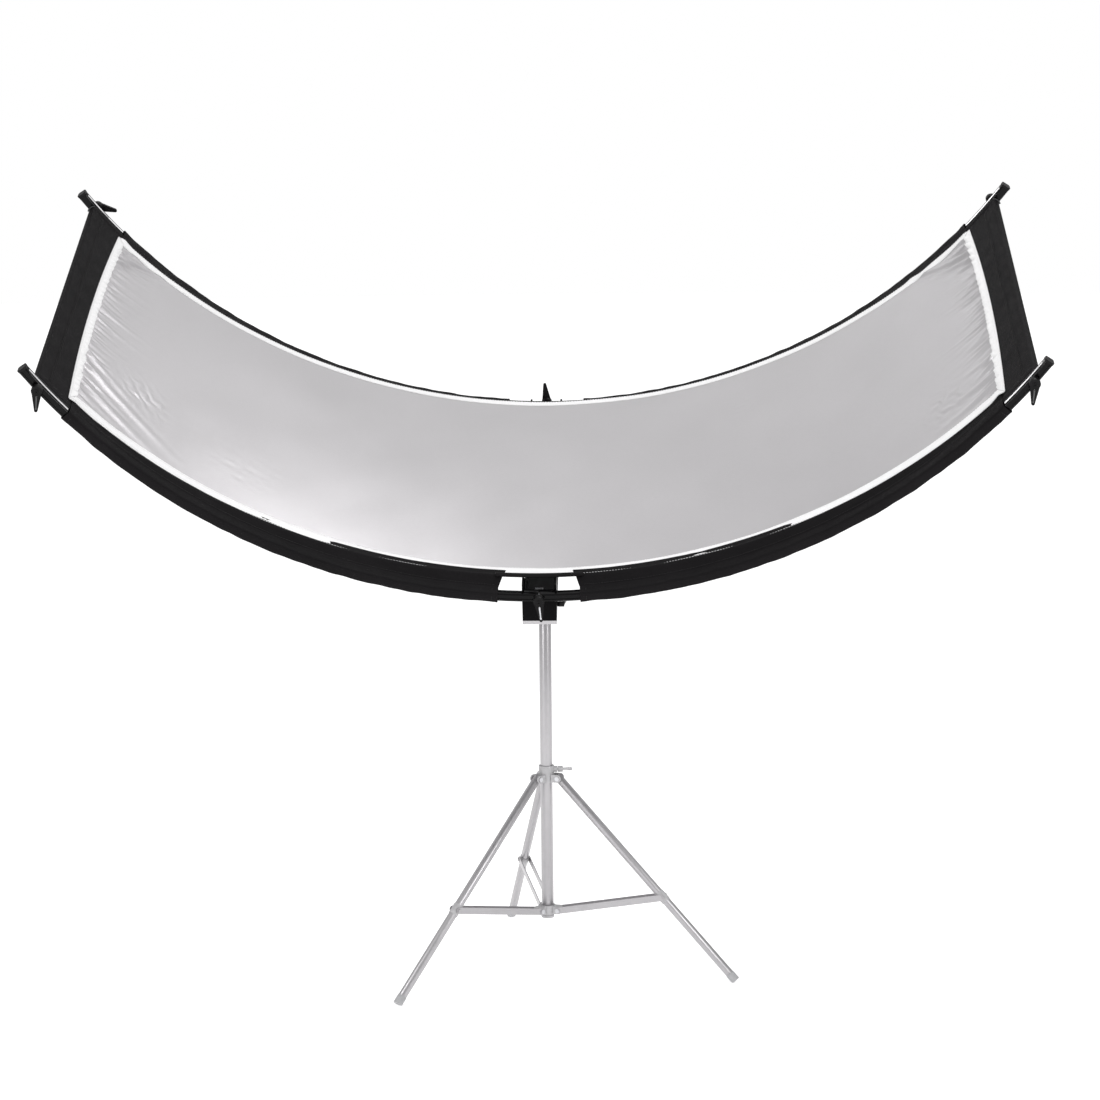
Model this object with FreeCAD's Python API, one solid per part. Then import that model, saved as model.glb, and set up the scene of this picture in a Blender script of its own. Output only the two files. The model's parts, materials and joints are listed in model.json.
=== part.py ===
import FreeCAD, Part
import math
import os
from FreeCAD import Vector

# A curved photographic reflector on a small folding light stand. Millimetres, +Z up, the floor
# is z = 0 and the stand's column stands on the Z axis. The front of the reflector faces -Y.

# ---- driving dimensions ---------------------------------------------------------------------
# Reflector. Its own frame has X to the right, Y across its width and Z along its normal, with
# the origin midway between the lowest points of the two rail centre lines.
ARC_RADIUS = 860.0           # of both rails' centre lines
ARC_HALF_ANGLE = 56.0        # degrees from the lowest point to a rail's end
RAIL_SPACING = 580.0         # between the two rail centre lines
RAIL_HALF = 6.5              # rails are 13 mm square tube
RAIL_WALL = 2.2
RAIL_CHAMFER = 1.8
GROOVE_HALF = 2.0
GROOVE_DEEP = 1.0
CAP_THICK = 4.0
REST_TILT = 22.0             # rear edge up
RAIL_HEIGHT = 750.0          # lowest point of the rail centre lines at mid width, at rest
PIVOT_DROP = 95.0            # from the rail plane down to the tilt axis, along the normal

SPLICE_HALF_ARC = 60.0       # each way from the middle
CENTRE_GAP_ARC = 59.5        # the rails are bare this far each way from the middle
SLEEVE_END_FROM_TIP = 91.0   # the rails are bare this far from their tips
END_BAR_FROM_TIP = 36.0
END_BAR_HALF = (8.0, 5.0)    # along the arc, and along the normal
PANEL_EDGE_FROM_TIP = 28.0   # outer edge of a black end panel
PANEL_SEAM_FROM_TIP = 84.0   # inner edge, sewn to the reflective sheet

SHEET_HALF_WIDTH = 264.0
CLOTH = 1.5                  # cloth thickness
CLOTH_OVER_RAIL = 8.0        # height of the cloth's top over the rail centre line at the rails
BORDER_RISE = 10.0           # how far the black border climbs from the rail to the sheet
SHEET_CROWN = 21.0           # how far the sheet's middle stands over its long edges
SLEEVE_INNER_HALF = 6.8
SLEEVE_OUTER_HALF = 8.2
BORDER_OUTER_EDGE = 281.7    # just short of the sleeve's inner side
LONG_BINDING = 18.0          # widths of the white binding
END_BINDING = 13.0
BINDING_THICK = 0.6

# Crossbar and the brackets at its two ends.
BRACKET_HALF = 25.0
BRACKET_WALL = 2.8
BRACKET_LENGTH = 62.0
BRACKET_TOP = 16.0           # of the cheeks; the end plate is as high as the rail
BRACKET_BOTTOM = -46.0
BRACKET_SLOPE = (24.0, 46.0)  # the cheeks slope down between these distances behind the end plate
CROSSBAR_HALF = 22.0
CROSSBAR_WALL = 2.5
CROSSBAR_TOP = -10.0
BASE_PLATE_THICK = 6.0
SPACER_HALF_LENGTH = 45.0
CLAMP_NUT = (6.0, 5.0)       # half width, thickness
FACE_GAP = 0.2

# Clamp levers.
WASHER = (3.0, 7.5, 1.5)     # inner radius, outer radius, thickness
HUB = (8.0, 9.0)             # radius, length
WING = (31.0, 7.6, 2.4, 4.0)  # reach, half width at the hub, half width at the tip, thickness
WING_RAKE = 14.0             # degrees, away from the rail
WING_LEAN = -3.0             # how far the tip stands to one side of the hub's middle
WING_INSET = 0.8             # the wing's outer face at the hub, behind the hub's end
# Directions of the wings in degrees from straight up, as seen along the screw.
# Left ones are mirrored. At a corner the whole lever also stands with the rail's end.
CORNER_TURNS = {"rear_right": -126.0, "rear_left": -52.0, "front_right": -116.0, "front_left": -126.0}
REAR_CENTRE_TURN = 0.0
FRONT_CENTRE_TURN = 180.0
SIDE_TURN = 262.0
TILT_LEVER_TURN = 155.0
SIDE_SCREW_INSET = 22.0      # from the front end plate's inner face
SIDE_SCREW_Z = -28.0
CORNER_SCREW_R = 2.5
CENTRE_SCREW_R = 3.0
RUNNING = 0.05               # radial clearance of every turning fit

# Tilt head.
YOKE_EAR_INNER = 18.4
YOKE_EAR_THICK = 3.0
YOKE_EAR_R = 13.0
YOKE_EAR_ROOT_HALF = 24.0
YOKE_WEB = (30.0, 3.0)       # half length, thickness
YOKE_SCREWS_AT = (12.0, 22.0)
YOKE_SCREW_R = 2.0
YOKE_SCREW_HEAD = (3.8, 2.6)  # radius, height
YOKE_SCREW_NUT = (3.6, 3.2)
TILT_NUT = (5.8, 5.0)        # corner radius, thickness
HEAD_HALF_X = 18.0
HEAD_HALF_Y = 14.0
HEAD_DROP = 34.0             # tilt axis to the top of the column
SPIGOT_R = 5.0
SPIGOT_LENGTH = 21.0
SPIGOT_FLANGE = (0.6, 1.5)   # beyond the tube's radius, thickness
SPIGOT_INSERT = 29.0
SWIVEL_SCREW_UP = 11.0       # over the column's top
SWIVEL_KNOB = (8.5, 9.0, 8)  # radius, length, scallops

# Stand.
COLUMN_R = 9.5
COLUMN_WALL = 1.2
COLUMN_FOOT_Z = 84.0
COLUMN_CAP = (0.4, 4.0)      # beyond the tube's radius, thickness
LEG_AZIMUTHS = {"rear": 103.0, "right": -17.0, "left": 223.0}  # degrees from +X towards +Y
LEG_PIVOT = (20.0, 304.0)    # distance from the column's axis, and height
LEG_TIP = (299.0, 8.0)
LEG_R = 6.5
LEG_WALL = 1.2
LEG_ABOVE_PIVOT = 3.6
FOOT_R = 7.1
FOOT_GRIP = 6.0             # how far up the leg the rubber tip reaches
FOOT_BEYOND = 8.0            # and how far past the leg's end
BRACE_SHARE = 0.6            # the brace meets the leg at this share of its length
BRACE_PIVOT = (18.6, 93.0)
STRAP_INNER = 7.6
STRAP_THICK = 1.5
STRAP_HALF = 5.0
RIVET = (3.4, 1.0)           # radius, thickness
RIVET_DOME = (2.3, 0.7)
PIN_R = 2.0
PIN_HEAD = (3.6, 1.2)        # radius, thickness
CLIP_R = 7.3
CLIP_HALF = 9.0
LUG_HALF = 7.35
LUG_R = 6.0
COLLAR_R = 12.0
LEG_COLLAR_Z = (297.0, 323.0)
BRACE_COLLAR_Z = (86.0, 100.0)
EAR_INNER = 6.9
EAR_OUTER = 9.4
LOCK_SCREW_Z = 317.0
LOCK_BOSS_END = 17.0
LOCK_BOSS_R = 4.8
LOCK_KNOB_HUB = (4.6, 8.0)   # radius, length
LOCK_KNOB_TURN = 70.0

X = Vector(1, 0, 0)
Y = Vector(0, 1, 0)
Z = Vector(0, 0, 1)
ORIGIN = Vector(0, 0, 0)
ARC_CENTRE = Vector(0, 0, ARC_RADIUS)
TILT = math.radians(REST_TILT)
PIVOT_HEIGHT = RAIL_HEIGHT - PIVOT_DROP * math.cos(TILT)
RAIL_Y = RAIL_SPACING / 2
BRACKET_FACE = RAIL_Y - RAIL_HALF
COLUMN_TOP = PIVOT_HEIGHT - HEAD_DROP
LEG_ANGLE = math.atan2(LEG_TIP[0] - LEG_PIVOT[0], LEG_PIVOT[1] - LEG_TIP[1])
LEG_LENGTH = math.hypot(LEG_TIP[0] - LEG_PIVOT[0], LEG_PIVOT[1] - LEG_TIP[1])


def degrees_of(arc):
    """Angle in degrees that a length along the rail's centre line takes."""
    return math.degrees(arc / ARC_RADIUS)


GAP_ANGLE = degrees_of(CENTRE_GAP_ARC)
SLEEVE_END = ARC_HALF_ANGLE - degrees_of(SLEEVE_END_FROM_TIP)
END_BAR_ANGLE = ARC_HALF_ANGLE - degrees_of(END_BAR_FROM_TIP)
PANEL_EDGE = ARC_HALF_ANGLE - degrees_of(PANEL_EDGE_FROM_TIP)
PANEL_SEAM = ARC_HALF_ANGLE - degrees_of(PANEL_SEAM_FROM_TIP)


# ---- helpers --------------------------------------------------------------------------------
def export(shape, name):
    shape.exportStep("parts/" + name + ".step")


def placed(shape):
    """Takes a shape from the reflector's own frame to where it stands at rest."""
    shape = shape.copy()
    shape.translate(Vector(0, 0, PIVOT_DROP))
    shape.rotate(ORIGIN, X, REST_TILT)
    shape.translate(Vector(0, 0, PIVOT_HEIGHT))
    return shape


def box(x, y, z):
    """A box from three (low, high) pairs."""
    return Part.makeBox(x[1] - x[0], y[1] - y[0], z[1] - z[0], Vector(x[0], y[0], z[0]))


def cylinder(radius, start, direction, length):
    return Part.makeCylinder(radius, length, start, direction)


def face_yz(points):
    """A flat face at x = 0 from (y, z) points."""
    corners = [Vector(0, y, z) for y, z in points]
    return Part.Face(Part.makePolygon(corners + corners[:1]))


def square_face(centre_y, half):
    return face_yz([(centre_y - half, -half), (centre_y + half, -half),
                    (centre_y + half, half), (centre_y - half, half)])


def along_arc(shape, angle):
    """Moves a shape made at the lowest point to another angle along the arc."""
    shape = shape.copy()
    shape.rotate(ARC_CENTRE, Y, -angle)
    return shape


def swept(face, start, end):
    """Sweeps a face made at the lowest point along the arc between two angles."""
    solid = along_arc(face, start).revolve(ARC_CENTRE, Y, start - end)
    if solid.Volume < 0:
        solid.reverse()
    return solid


def arc_slab(angles, heights, widths):
    """A slab that follows the arc: angles, heights over the rail line and Y, as low-high pairs."""
    face = face_yz([(widths[0], heights[0]), (widths[1], heights[0]),
                    (widths[1], heights[1]), (widths[0], heights[1])])
    return swept(face, angles[0], angles[1])


def mirrored(shape):
    return shape.mirror(ORIGIN, X)


def front_of(shape):
    """The front twin of a shape made for the rear, and the other way round."""
    return shape.mirror(ORIGIN, Y)


def fused(first, *others):
    return first.fuse(list(others)).removeSplitter()


# ---- rails ----------------------------------------------------------------------------------
def rail_face():
    """Rear rail's section: a chamfered square tube with a groove along its outer side."""
    h, c, g, d = RAIL_HALF, RAIL_CHAMFER, GROOVE_HALF, GROOVE_DEEP
    outline = [(h - c, -h), (h, c - h), (h, -g), (h - d, -g), (h - d, g), (h, g), (h, h - c), (h - c, h),
               (c - h, h), (-h, h - c), (-h, c - h), (c - h, -h)]
    outer = face_yz([(RAIL_Y + y, z) for y, z in outline])
    return outer.cut(square_face(RAIL_Y, RAIL_HALF - RAIL_WALL))


def centre_bolt_hole():
    return cylinder(CENTRE_SCREW_R + RUNNING, Vector(0, RAIL_Y - 60, 0), Y, 90)


def end_bolt_hole():
    hole = cylinder(CORNER_SCREW_R + RUNNING, Vector(0, RAIL_Y - 30, 0), Y, 60)
    return along_arc(hole, END_BAR_ANGLE)


def rear_rail_right():
    half_gap = degrees_of(0.5)
    tube = swept(rail_face().Faces[0], half_gap, ARC_HALF_ANGLE - degrees_of(CAP_THICK))
    return tube.cut(centre_bolt_hole()).cut(end_bolt_hole())


def rear_splice():
    reach = degrees_of(SPLICE_HALF_ARC)
    bar = swept(square_face(RAIL_Y, RAIL_HALF - RAIL_WALL - 0.1), -reach, reach)
    return bar.cut(centre_bolt_hole())


def rear_right_cap():
    """A plastic cap: a chamfered plate over the rail's end and a plug inside it."""
    plug_start = ARC_HALF_ANGLE - degrees_of(CAP_THICK + 12)
    plate_start = ARC_HALF_ANGLE - degrees_of(CAP_THICK)
    plug = swept(square_face(RAIL_Y, RAIL_HALF - RAIL_WALL - 0.1), plug_start, ARC_HALF_ANGLE)
    h, c = RAIL_HALF + 0.4, RAIL_CHAMFER
    outline = [(h - c, -h), (h, c - h), (h, h - c), (h - c, h),
               (c - h, h), (-h, h - c), (-h, c - h), (c - h, -h)]
    plate = swept(face_yz([(RAIL_Y + y, z) for y, z in outline]), plate_start, ARC_HALF_ANGLE)
    return fused(plate, plug)


def right_end_bar():
    half_arc = degrees_of(END_BAR_HALF[0])
    bar = arc_slab((END_BAR_ANGLE - half_arc, END_BAR_ANGLE + half_arc),
                   (-END_BAR_HALF[1], END_BAR_HALF[1]), (-BRACKET_FACE, BRACKET_FACE))
    return bar.cut(end_bolt_hole()).cut(front_of(end_bolt_hole()))


# ---- crossbar -------------------------------------------------------------------------------
def side_screw_y():
    """Where the side lever's screw crosses the front bracket."""
    return -(BRACKET_FACE - BRACKET_WALL - SIDE_SCREW_INSET)


def crossbar():
    """A channel, open at the top, between the end plates of the two brackets."""
    reach = BRACKET_FACE - BRACKET_WALL - FACE_GAP
    floor = BRACKET_BOTTOM + BRACKET_WALL + FACE_GAP
    outer = box((-CROSSBAR_HALF, CROSSBAR_HALF), (-reach, reach), (floor, CROSSBAR_TOP))
    inner = CROSSBAR_HALF - CROSSBAR_WALL
    channel = outer.cut(box((-inner, inner), (-reach - 1, reach + 1), (floor + CROSSBAR_WALL, 0)))
    hole = cylinder(CORNER_SCREW_R + RUNNING, Vector(0, side_screw_y(), SIDE_SCREW_Z), X, 2 * BRACKET_HALF)
    return channel.cut(hole).cut(yoke_screw_holes())


def rear_bracket():
    """A cradle: an end plate behind the rail, two cheeks and a floor under the crossbar."""
    w, top, low = BRACKET_WALL, BRACKET_TOP, BRACKET_BOTTOM
    inner_end = BRACKET_FACE - BRACKET_LENGTH
    side = face_yz([(BRACKET_FACE, low), (BRACKET_FACE, top), (BRACKET_FACE - BRACKET_SLOPE[0], top),
                    (BRACKET_FACE - BRACKET_SLOPE[1], CROSSBAR_TOP),
                    (inner_end, CROSSBAR_TOP), (inner_end, low)])
    block = side.extrude(Vector(2 * BRACKET_HALF, 0, 0))
    block.translate(Vector(-BRACKET_HALF, 0, 0))
    half = BRACKET_HALF - w
    inside = box((-half, half), (inner_end - 1, BRACKET_FACE - w), (low + w, top + 1))
    over_plate = box((-half, half), (inner_end - 1, BRACKET_FACE + 1), (RAIL_HALF, top + 1))
    return block.cut(inside).cut(over_plate).cut(centre_bolt_hole())


def front_bracket():
    hole = cylinder(CORNER_SCREW_R + RUNNING, Vector(0, side_screw_y(), SIDE_SCREW_Z), X, 2 * BRACKET_HALF)
    return front_of(rear_bracket()).cut(hole)


def clamp_nut():
    """Square nut behind the rear bracket's end plate."""
    back = BRACKET_FACE - BRACKET_WALL
    half, thick = CLAMP_NUT
    nut = box((-half, half), (back - thick, back), (-half, half))
    return nut.cut(centre_bolt_hole())


def base_plate():
    """Flat bar under the brackets and the crossbar."""
    top = BRACKET_BOTTOM
    plate = box((-BRACKET_HALF, BRACKET_HALF), (-BRACKET_FACE, BRACKET_FACE), (top - BASE_PLATE_THICK, top))
    return plate.cut(yoke_screw_holes())


def spacer():
    """Fills the step between the base plate and the crossbar's floor, over the yoke."""
    top = BRACKET_BOTTOM + BRACKET_WALL + FACE_GAP
    length = (-SPACER_HALF_LENGTH, SPACER_HALF_LENGTH)
    block = box((-CROSSBAR_HALF, CROSSBAR_HALF), length, (BRACKET_BOTTOM, top))
    return block.cut(yoke_screw_holes())


# ---- tilt head ------------------------------------------------------------------------------
def yoke_screw_places():
    across, along = YOKE_SCREWS_AT
    return [(x, y) for x in (-across, across) for y in (-along, along)]


def yoke_screw_holes():
    shafts = [cylinder(YOKE_SCREW_R + 0.1, Vector(x, y, -60), Z, 30) for x, y in yoke_screw_places()]
    return Part.makeCompound(shafts)


def yoke():
    """U bracket under the base plate: a web, and two ears that hold the tilt bolt."""
    under = BRACKET_BOTTOM - BASE_PLATE_THICK
    outer = YOKE_EAR_INNER + YOKE_EAR_THICK
    web = box((-outer, outer), (-YOKE_WEB[0], YOKE_WEB[0]), (under - YOKE_WEB[1], under))
    pieces = []
    for side in (-1, 1):
        low_x = YOKE_EAR_INNER if side > 0 else -outer
        profile = face_yz([(-YOKE_EAR_ROOT_HALF, under - 2), (-YOKE_EAR_R, -PIVOT_DROP),
                           (YOKE_EAR_R, -PIVOT_DROP), (YOKE_EAR_ROOT_HALF, under - 2)])
        ear = profile.extrude(Vector(YOKE_EAR_THICK, 0, 0))
        ear.translate(Vector(low_x, 0, 0))
        end = cylinder(YOKE_EAR_R, Vector(low_x, 0, -PIVOT_DROP), X, YOKE_EAR_THICK)
        pieces += [ear, end]
    bracket = fused(web, *pieces)
    bolt_hole = cylinder(CENTRE_SCREW_R + RUNNING, Vector(-40, 0, -PIVOT_DROP), X, 80)
    return bracket.cut(bolt_hole).cut(yoke_screw_holes())


def yoke_screws():
    """Four pan-head screws, from under the web up into nuts on the crossbar's floor."""
    under = BRACKET_BOTTOM - BASE_PLATE_THICK - YOKE_WEB[1]
    floor = BRACKET_BOTTOM + BRACKET_WALL + FACE_GAP + CROSSBAR_WALL
    screws = []
    for x, y in yoke_screw_places():
        head = cylinder(YOKE_SCREW_HEAD[0], Vector(x, y, under - YOKE_SCREW_HEAD[1]), Z, YOKE_SCREW_HEAD[1])
        shank = cylinder(YOKE_SCREW_R, Vector(x, y, under - 0.5), Z, floor + 4.5 - under)
        nut = cylinder(YOKE_SCREW_NUT[0], Vector(x, y, floor), Z, YOKE_SCREW_NUT[1])
        screws.append(fused(head, shank, nut))
    return Part.makeCompound(screws)


def tilt_nut():
    """Hexagonal nut against the left ear."""
    outer = YOKE_EAR_INNER + YOKE_EAR_THICK
    radius, thick = TILT_NUT
    corners = []
    for k in range(7):
        turn = math.radians(60 * k)
        corners.append(Vector(-outer - thick, radius * math.cos(turn), -PIVOT_DROP + radius * math.sin(turn)))
    nut = Part.Face(Part.makePolygon(corners)).extrude(Vector(thick, 0, 0))
    return nut.cut(cylinder(CENTRE_SCREW_R + RUNNING, Vector(-40, 0, -PIVOT_DROP), X, 80))


def head_block():
    """Stands on the column's spigot and carries the tilt bolt between the yoke's ears."""
    low = COLUMN_TOP + FACE_GAP
    body = box((-HEAD_HALF_X, HEAD_HALF_X), (-HEAD_HALF_Y, HEAD_HALF_Y), (low, PIVOT_HEIGHT))
    crown = cylinder(HEAD_HALF_Y, Vector(-HEAD_HALF_X, 0, PIVOT_HEIGHT), X, 2 * HEAD_HALF_X)
    block = fused(body, crown)
    tilt_hole = cylinder(CENTRE_SCREW_R + RUNNING, Vector(-40, 0, PIVOT_HEIGHT), X, 80)
    socket = cylinder(SPIGOT_R + RUNNING, Vector(0, 0, low - 1), Z, SPIGOT_LENGTH + 1.5)
    lock_hole = cylinder(CORNER_SCREW_R + RUNNING, Vector(0, 0, COLUMN_TOP + SWIVEL_SCREW_UP), Y, 30)
    return block.cut(tilt_hole).cut(socket).cut(lock_hole)


# ---- levers and knobs -----------------------------------------------------------------------
def lever(screw_r, screw_length, turn):
    """A wing lever moulded on its screw. Made with the screw along -Y from the hub's inner face at
    the origin, and the wing turned about Y from straight up."""
    reach, root, tip, thick = WING
    shoulder = reach - tip
    outline = [Vector(-root, 0, 0), Vector(WING_LEAN - tip, 0, shoulder), Vector(WING_LEAN, 0, reach),
               Vector(WING_LEAN + tip, 0, shoulder), Vector(root, 0, 0)]
    edges = [Part.LineSegment(outline[0], outline[1]).toShape(),
             Part.Arc(outline[1], outline[2], outline[3]).toShape(),
             Part.LineSegment(outline[3], outline[4]).toShape(),
             Part.LineSegment(outline[4], outline[0]).toShape()]
    wing = Part.Face(Part.Wire(edges)).extrude(Vector(0, thick, 0))
    wing.translate(Vector(0, HUB[1] - thick - WING_INSET, 0))
    wing.rotate(Vector(0, HUB[1] - thick, 0), X, -WING_RAKE)
    hub = cylinder(HUB[0], ORIGIN, Y, HUB[1])
    screw = cylinder(screw_r, Vector(0, -screw_length, 0), Y, screw_length + 2)
    whole = fused(hub, wing, screw)
    whole.rotate(ORIGIN, Y, turn)
    return whole


def washer(inner):
    ring = cylinder(WASHER[1], ORIGIN, Y, WASHER[2])
    return ring.cut(cylinder(inner, Vector(0, -1, 0), Y, WASHER[2] + 2))


def outside_rail(shape, clear):
    """Puts a shape made at the origin on the rear rail's outer face, at the lowest point."""
    shape = shape.copy()
    shape.translate(Vector(0, RAIL_Y + RAIL_HALF + clear, 0))
    return shape


def corner_lever(turn):
    """For the rear right corner: screwed through the rail into the end bar."""
    made = lever(CORNER_SCREW_R, WASHER[2] + FACE_GAP + 2 * RAIL_HALF + 14, turn)
    return along_arc(outside_rail(made, WASHER[2] + FACE_GAP), END_BAR_ANGLE)


def centre_lever(turn):
    """For the rear: screwed through the rail, the splice and the bracket into the nut."""
    length = WASHER[2] + FACE_GAP + 2 * RAIL_HALF + BRACKET_WALL + 7
    return outside_rail(lever(CENTRE_SCREW_R, length, turn), WASHER[2] + FACE_GAP)


def side_lever():
    """On the front bracket's right cheek, screwed into the crossbar's wall."""
    made = lever(CORNER_SCREW_R, WASHER[2] + FACE_GAP + BRACKET_HALF - CROSSBAR_HALF + 6, SIDE_TURN)
    made.rotate(ORIGIN, Z, -90)
    made.translate(Vector(BRACKET_HALF + WASHER[2] + FACE_GAP, side_screw_y(), SIDE_SCREW_Z))
    return made


def side_washer():
    ring = washer(WASHER[0])
    ring.rotate(ORIGIN, Z, -90)
    ring.translate(Vector(BRACKET_HALF, side_screw_y(), SIDE_SCREW_Z))
    return ring


def lever_washers():
    corner = along_arc(outside_rail(washer(WASHER[0]), 0), END_BAR_ANGLE)
    centre = outside_rail(washer(WASHER[0] + 0.4), 0)
    rings = [corner, mirrored(corner), centre]
    rings += [front_of(ring) for ring in rings]
    return Part.makeCompound(rings + [side_washer()])


def tilt_lever():
    """Screwed through both ears and the head, with its wing on the right."""
    outer = YOKE_EAR_INNER + YOKE_EAR_THICK
    made = lever(CENTRE_SCREW_R, 2 * outer + TILT_NUT[1] + 1.5, TILT_LEVER_TURN)
    made.rotate(ORIGIN, Z, -90)
    made.translate(Vector(outer + FACE_GAP, 0, PIVOT_HEIGHT))
    return made


def lobed_knob(radius, length, lobes):
    """A round grip with scallops round it, along +Y from the origin."""
    grip = cylinder(radius, ORIGIN, Y, length)
    for k in range(lobes):
        turn = 2 * math.pi * k / lobes
        centre = Vector(radius * 1.12 * math.cos(turn), -1, radius * 1.12 * math.sin(turn))
        grip = grip.cut(cylinder(radius * 0.22, centre, Y, length + 2))
    return grip


def swivel_lock_knob():
    """Presses on the spigot from the rear of the head."""
    screw_end = SPIGOT_R + 0.4
    start = HEAD_HALF_Y + 1.0
    knob = lobed_knob(*SWIVEL_KNOB)
    knob.translate(Vector(0, start, 0))
    screw = cylinder(CORNER_SCREW_R, Vector(0, screw_end, 0), Y, start + 2 - screw_end)
    made = fused(knob, screw)
    made.translate(Vector(0, 0, COLUMN_TOP + SWIVEL_SCREW_UP))
    return made


def collar_lock_knob():
    """Wing screw along +X, pressed on the column through the leg collar's boss."""
    screw = cylinder(PIN_R, Vector(COLUMN_R + 0.4, 0, 0), X, LOCK_BOSS_END + 2 - COLUMN_R)
    hub = cylinder(LOCK_KNOB_HUB[0], Vector(LOCK_BOSS_END + 0.6, 0, 0), X, LOCK_KNOB_HUB[1])
    start = LOCK_BOSS_END + 4
    outline = [(0, -4), (16, -10), (19, -7), (9, 0), (19, 7), (16, 10), (0, 4)]
    corners = [Vector(start + x, 0, z) for x, z in outline]
    wings = Part.Face(Part.makePolygon(corners + corners[:1])).extrude(Vector(0, 3, 0))
    wings.translate(Vector(0, -1.5, 0))
    made = fused(hub, wings, screw)
    made.rotate(ORIGIN, X, LOCK_KNOB_TURN)
    made.translate(Vector(0, 0, LOCK_SCREW_Z))
    return made


# ---- cloth ----------------------------------------------------------------------------------
def fullness(angle):
    """How much of its rise the cloth shows: all of it in the middle, none at the end seams."""
    return 1 - (angle / PANEL_SEAM) ** 2


def cloth_top(angle, y):
    """Height of the cloth's upper side over the rail line."""
    rise = BORDER_RISE
    if abs(y) > SHEET_HALF_WIDTH:
        rise *= (BORDER_OUTER_EDGE - abs(y)) / (BORDER_OUTER_EDGE - SHEET_HALF_WIDTH)
        crown = 0
    else:
        crown = SHEET_CROWN * (1 - (y / SHEET_HALF_WIDTH) ** 2)
    return CLOTH_OVER_RAIL + fullness(angle) * (rise + crown)


def curve_through(points):
    curve = Part.BSplineCurve()
    curve.interpolate(points)
    return curve.toShape()


def cloth_section(angle, edges, low, high):
    """Closed outline across the cloth, curved between its edges, low and high over its top side."""
    middle = sum(edges) / 2
    upper = [Vector(0, y, cloth_top(angle, y) + high) for y in (edges[0], middle, edges[1])]
    lower = [Vector(0, y, cloth_top(angle, y) + low) for y in (edges[1], middle, edges[0])]
    wire = Part.Wire([curve_through(upper), Part.makeLine(upper[2], lower[0]),
                      curve_through(lower), Part.makeLine(lower[2], upper[0])])
    return along_arc(wire, angle)


def cloth_patch(angles, edges, low, high, steps):
    """A piece of cloth between two angles along the arc and two places across the width."""
    places = [angles[0] + (angles[1] - angles[0]) * k / steps for k in range(steps + 1)]
    solid = Part.makeLoft([cloth_section(a, edges, low, high) for a in places], True, False)
    if solid.Volume < 0:
        solid.reverse()
    return solid


def reflective_sheet():
    reach = PANEL_SEAM - degrees_of(0.1)
    return cloth_patch((-reach, reach), (-SHEET_HALF_WIDTH, SHEET_HALF_WIDTH), -CLOTH, 0, 12)


def edge_binding():
    """White strips sewn on the sheet's edges. Each long one is in two halves that meet at the middle."""
    reach = PANEL_SEAM - degrees_of(0.3)
    inner = reach - degrees_of(END_BINDING)
    edge = SHEET_HALF_WIDTH
    start = degrees_of(0.05)
    long_half = cloth_patch((start, reach), (edge - LONG_BINDING, edge), 0.05, BINDING_THICK, 6)
    inside = edge - LONG_BINDING - 0.1
    end = cloth_patch((inner, reach), (-inside, inside), 0.05, BINDING_THICK, 2)
    right = [long_half, front_of(long_half), end]
    return Part.makeCompound(right + [mirrored(strip) for strip in right])


def rear_sleeve_right():
    """Black sleeve round the rail, and the border strip that joins it to the sheet."""
    ring = square_face(RAIL_Y, SLEEVE_OUTER_HALF).cut(square_face(RAIL_Y, SLEEVE_INNER_HALF))
    tube = swept(ring.Faces[0], GAP_ANGLE, SLEEVE_END)
    edges = (SHEET_HALF_WIDTH + 0.1, BORDER_OUTER_EDGE)
    border = cloth_patch((GAP_ANGLE, SLEEVE_END), edges, -CLOTH, 0, 6)
    return Part.makeCompound([tube, border])


def right_end_panel():
    """Black cloth that wraps the end bar and reaches the sheet's end seam."""
    half = BRACKET_FACE - 0.6
    wrap_inner = degrees_of(END_BAR_HALF[0] + 0.3)
    wrap_low = END_BAR_ANGLE - wrap_inner - degrees_of(CLOTH)
    top = END_BAR_HALF[1] + 0.3
    outer = arc_slab((wrap_low, PANEL_EDGE + degrees_of(2.0)), (-top - CLOTH, top + CLOTH), (-half, half))
    inner = arc_slab((END_BAR_ANGLE - wrap_inner, END_BAR_ANGLE + wrap_inner),
                     (-top, top), (-half - 1, half + 1))
    flap = arc_slab((PANEL_SEAM, wrap_low + degrees_of(0.5)), (top + 0.2, top + CLOTH), (-half, half))
    return fused(outer.cut(inner), flap)


# ---- stand ----------------------------------------------------------------------------------
def radial(shape, azimuth):
    """Turns a shape made in the X-Z plane to a leg's direction."""
    shape = shape.copy()
    shape.rotate(ORIGIN, Z, azimuth)
    return shape


def column_tube():
    length = COLUMN_TOP - SPIGOT_FLANGE[1] - COLUMN_FOOT_Z
    tube = cylinder(COLUMN_R, Vector(0, 0, COLUMN_FOOT_Z), Z, length)
    return tube.cut(cylinder(COLUMN_R - COLUMN_WALL, Vector(0, 0, COLUMN_FOOT_Z - 1), Z, length + 2))


def column_spigot():
    """Insert in the column's top with a flange and the spigot that the head turns on."""
    inside = COLUMN_R - COLUMN_WALL - 0.02
    beyond, thick = SPIGOT_FLANGE
    insert = cylinder(inside, Vector(0, 0, COLUMN_TOP - thick - SPIGOT_INSERT), Z, SPIGOT_INSERT + 0.5)
    flange = cylinder(COLUMN_R + beyond, Vector(0, 0, COLUMN_TOP - thick), Z, thick)
    spigot = cylinder(SPIGOT_R, Vector(0, 0, COLUMN_TOP - 2), Z, SPIGOT_LENGTH + 2)
    return fused(insert, flange, spigot)


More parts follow.
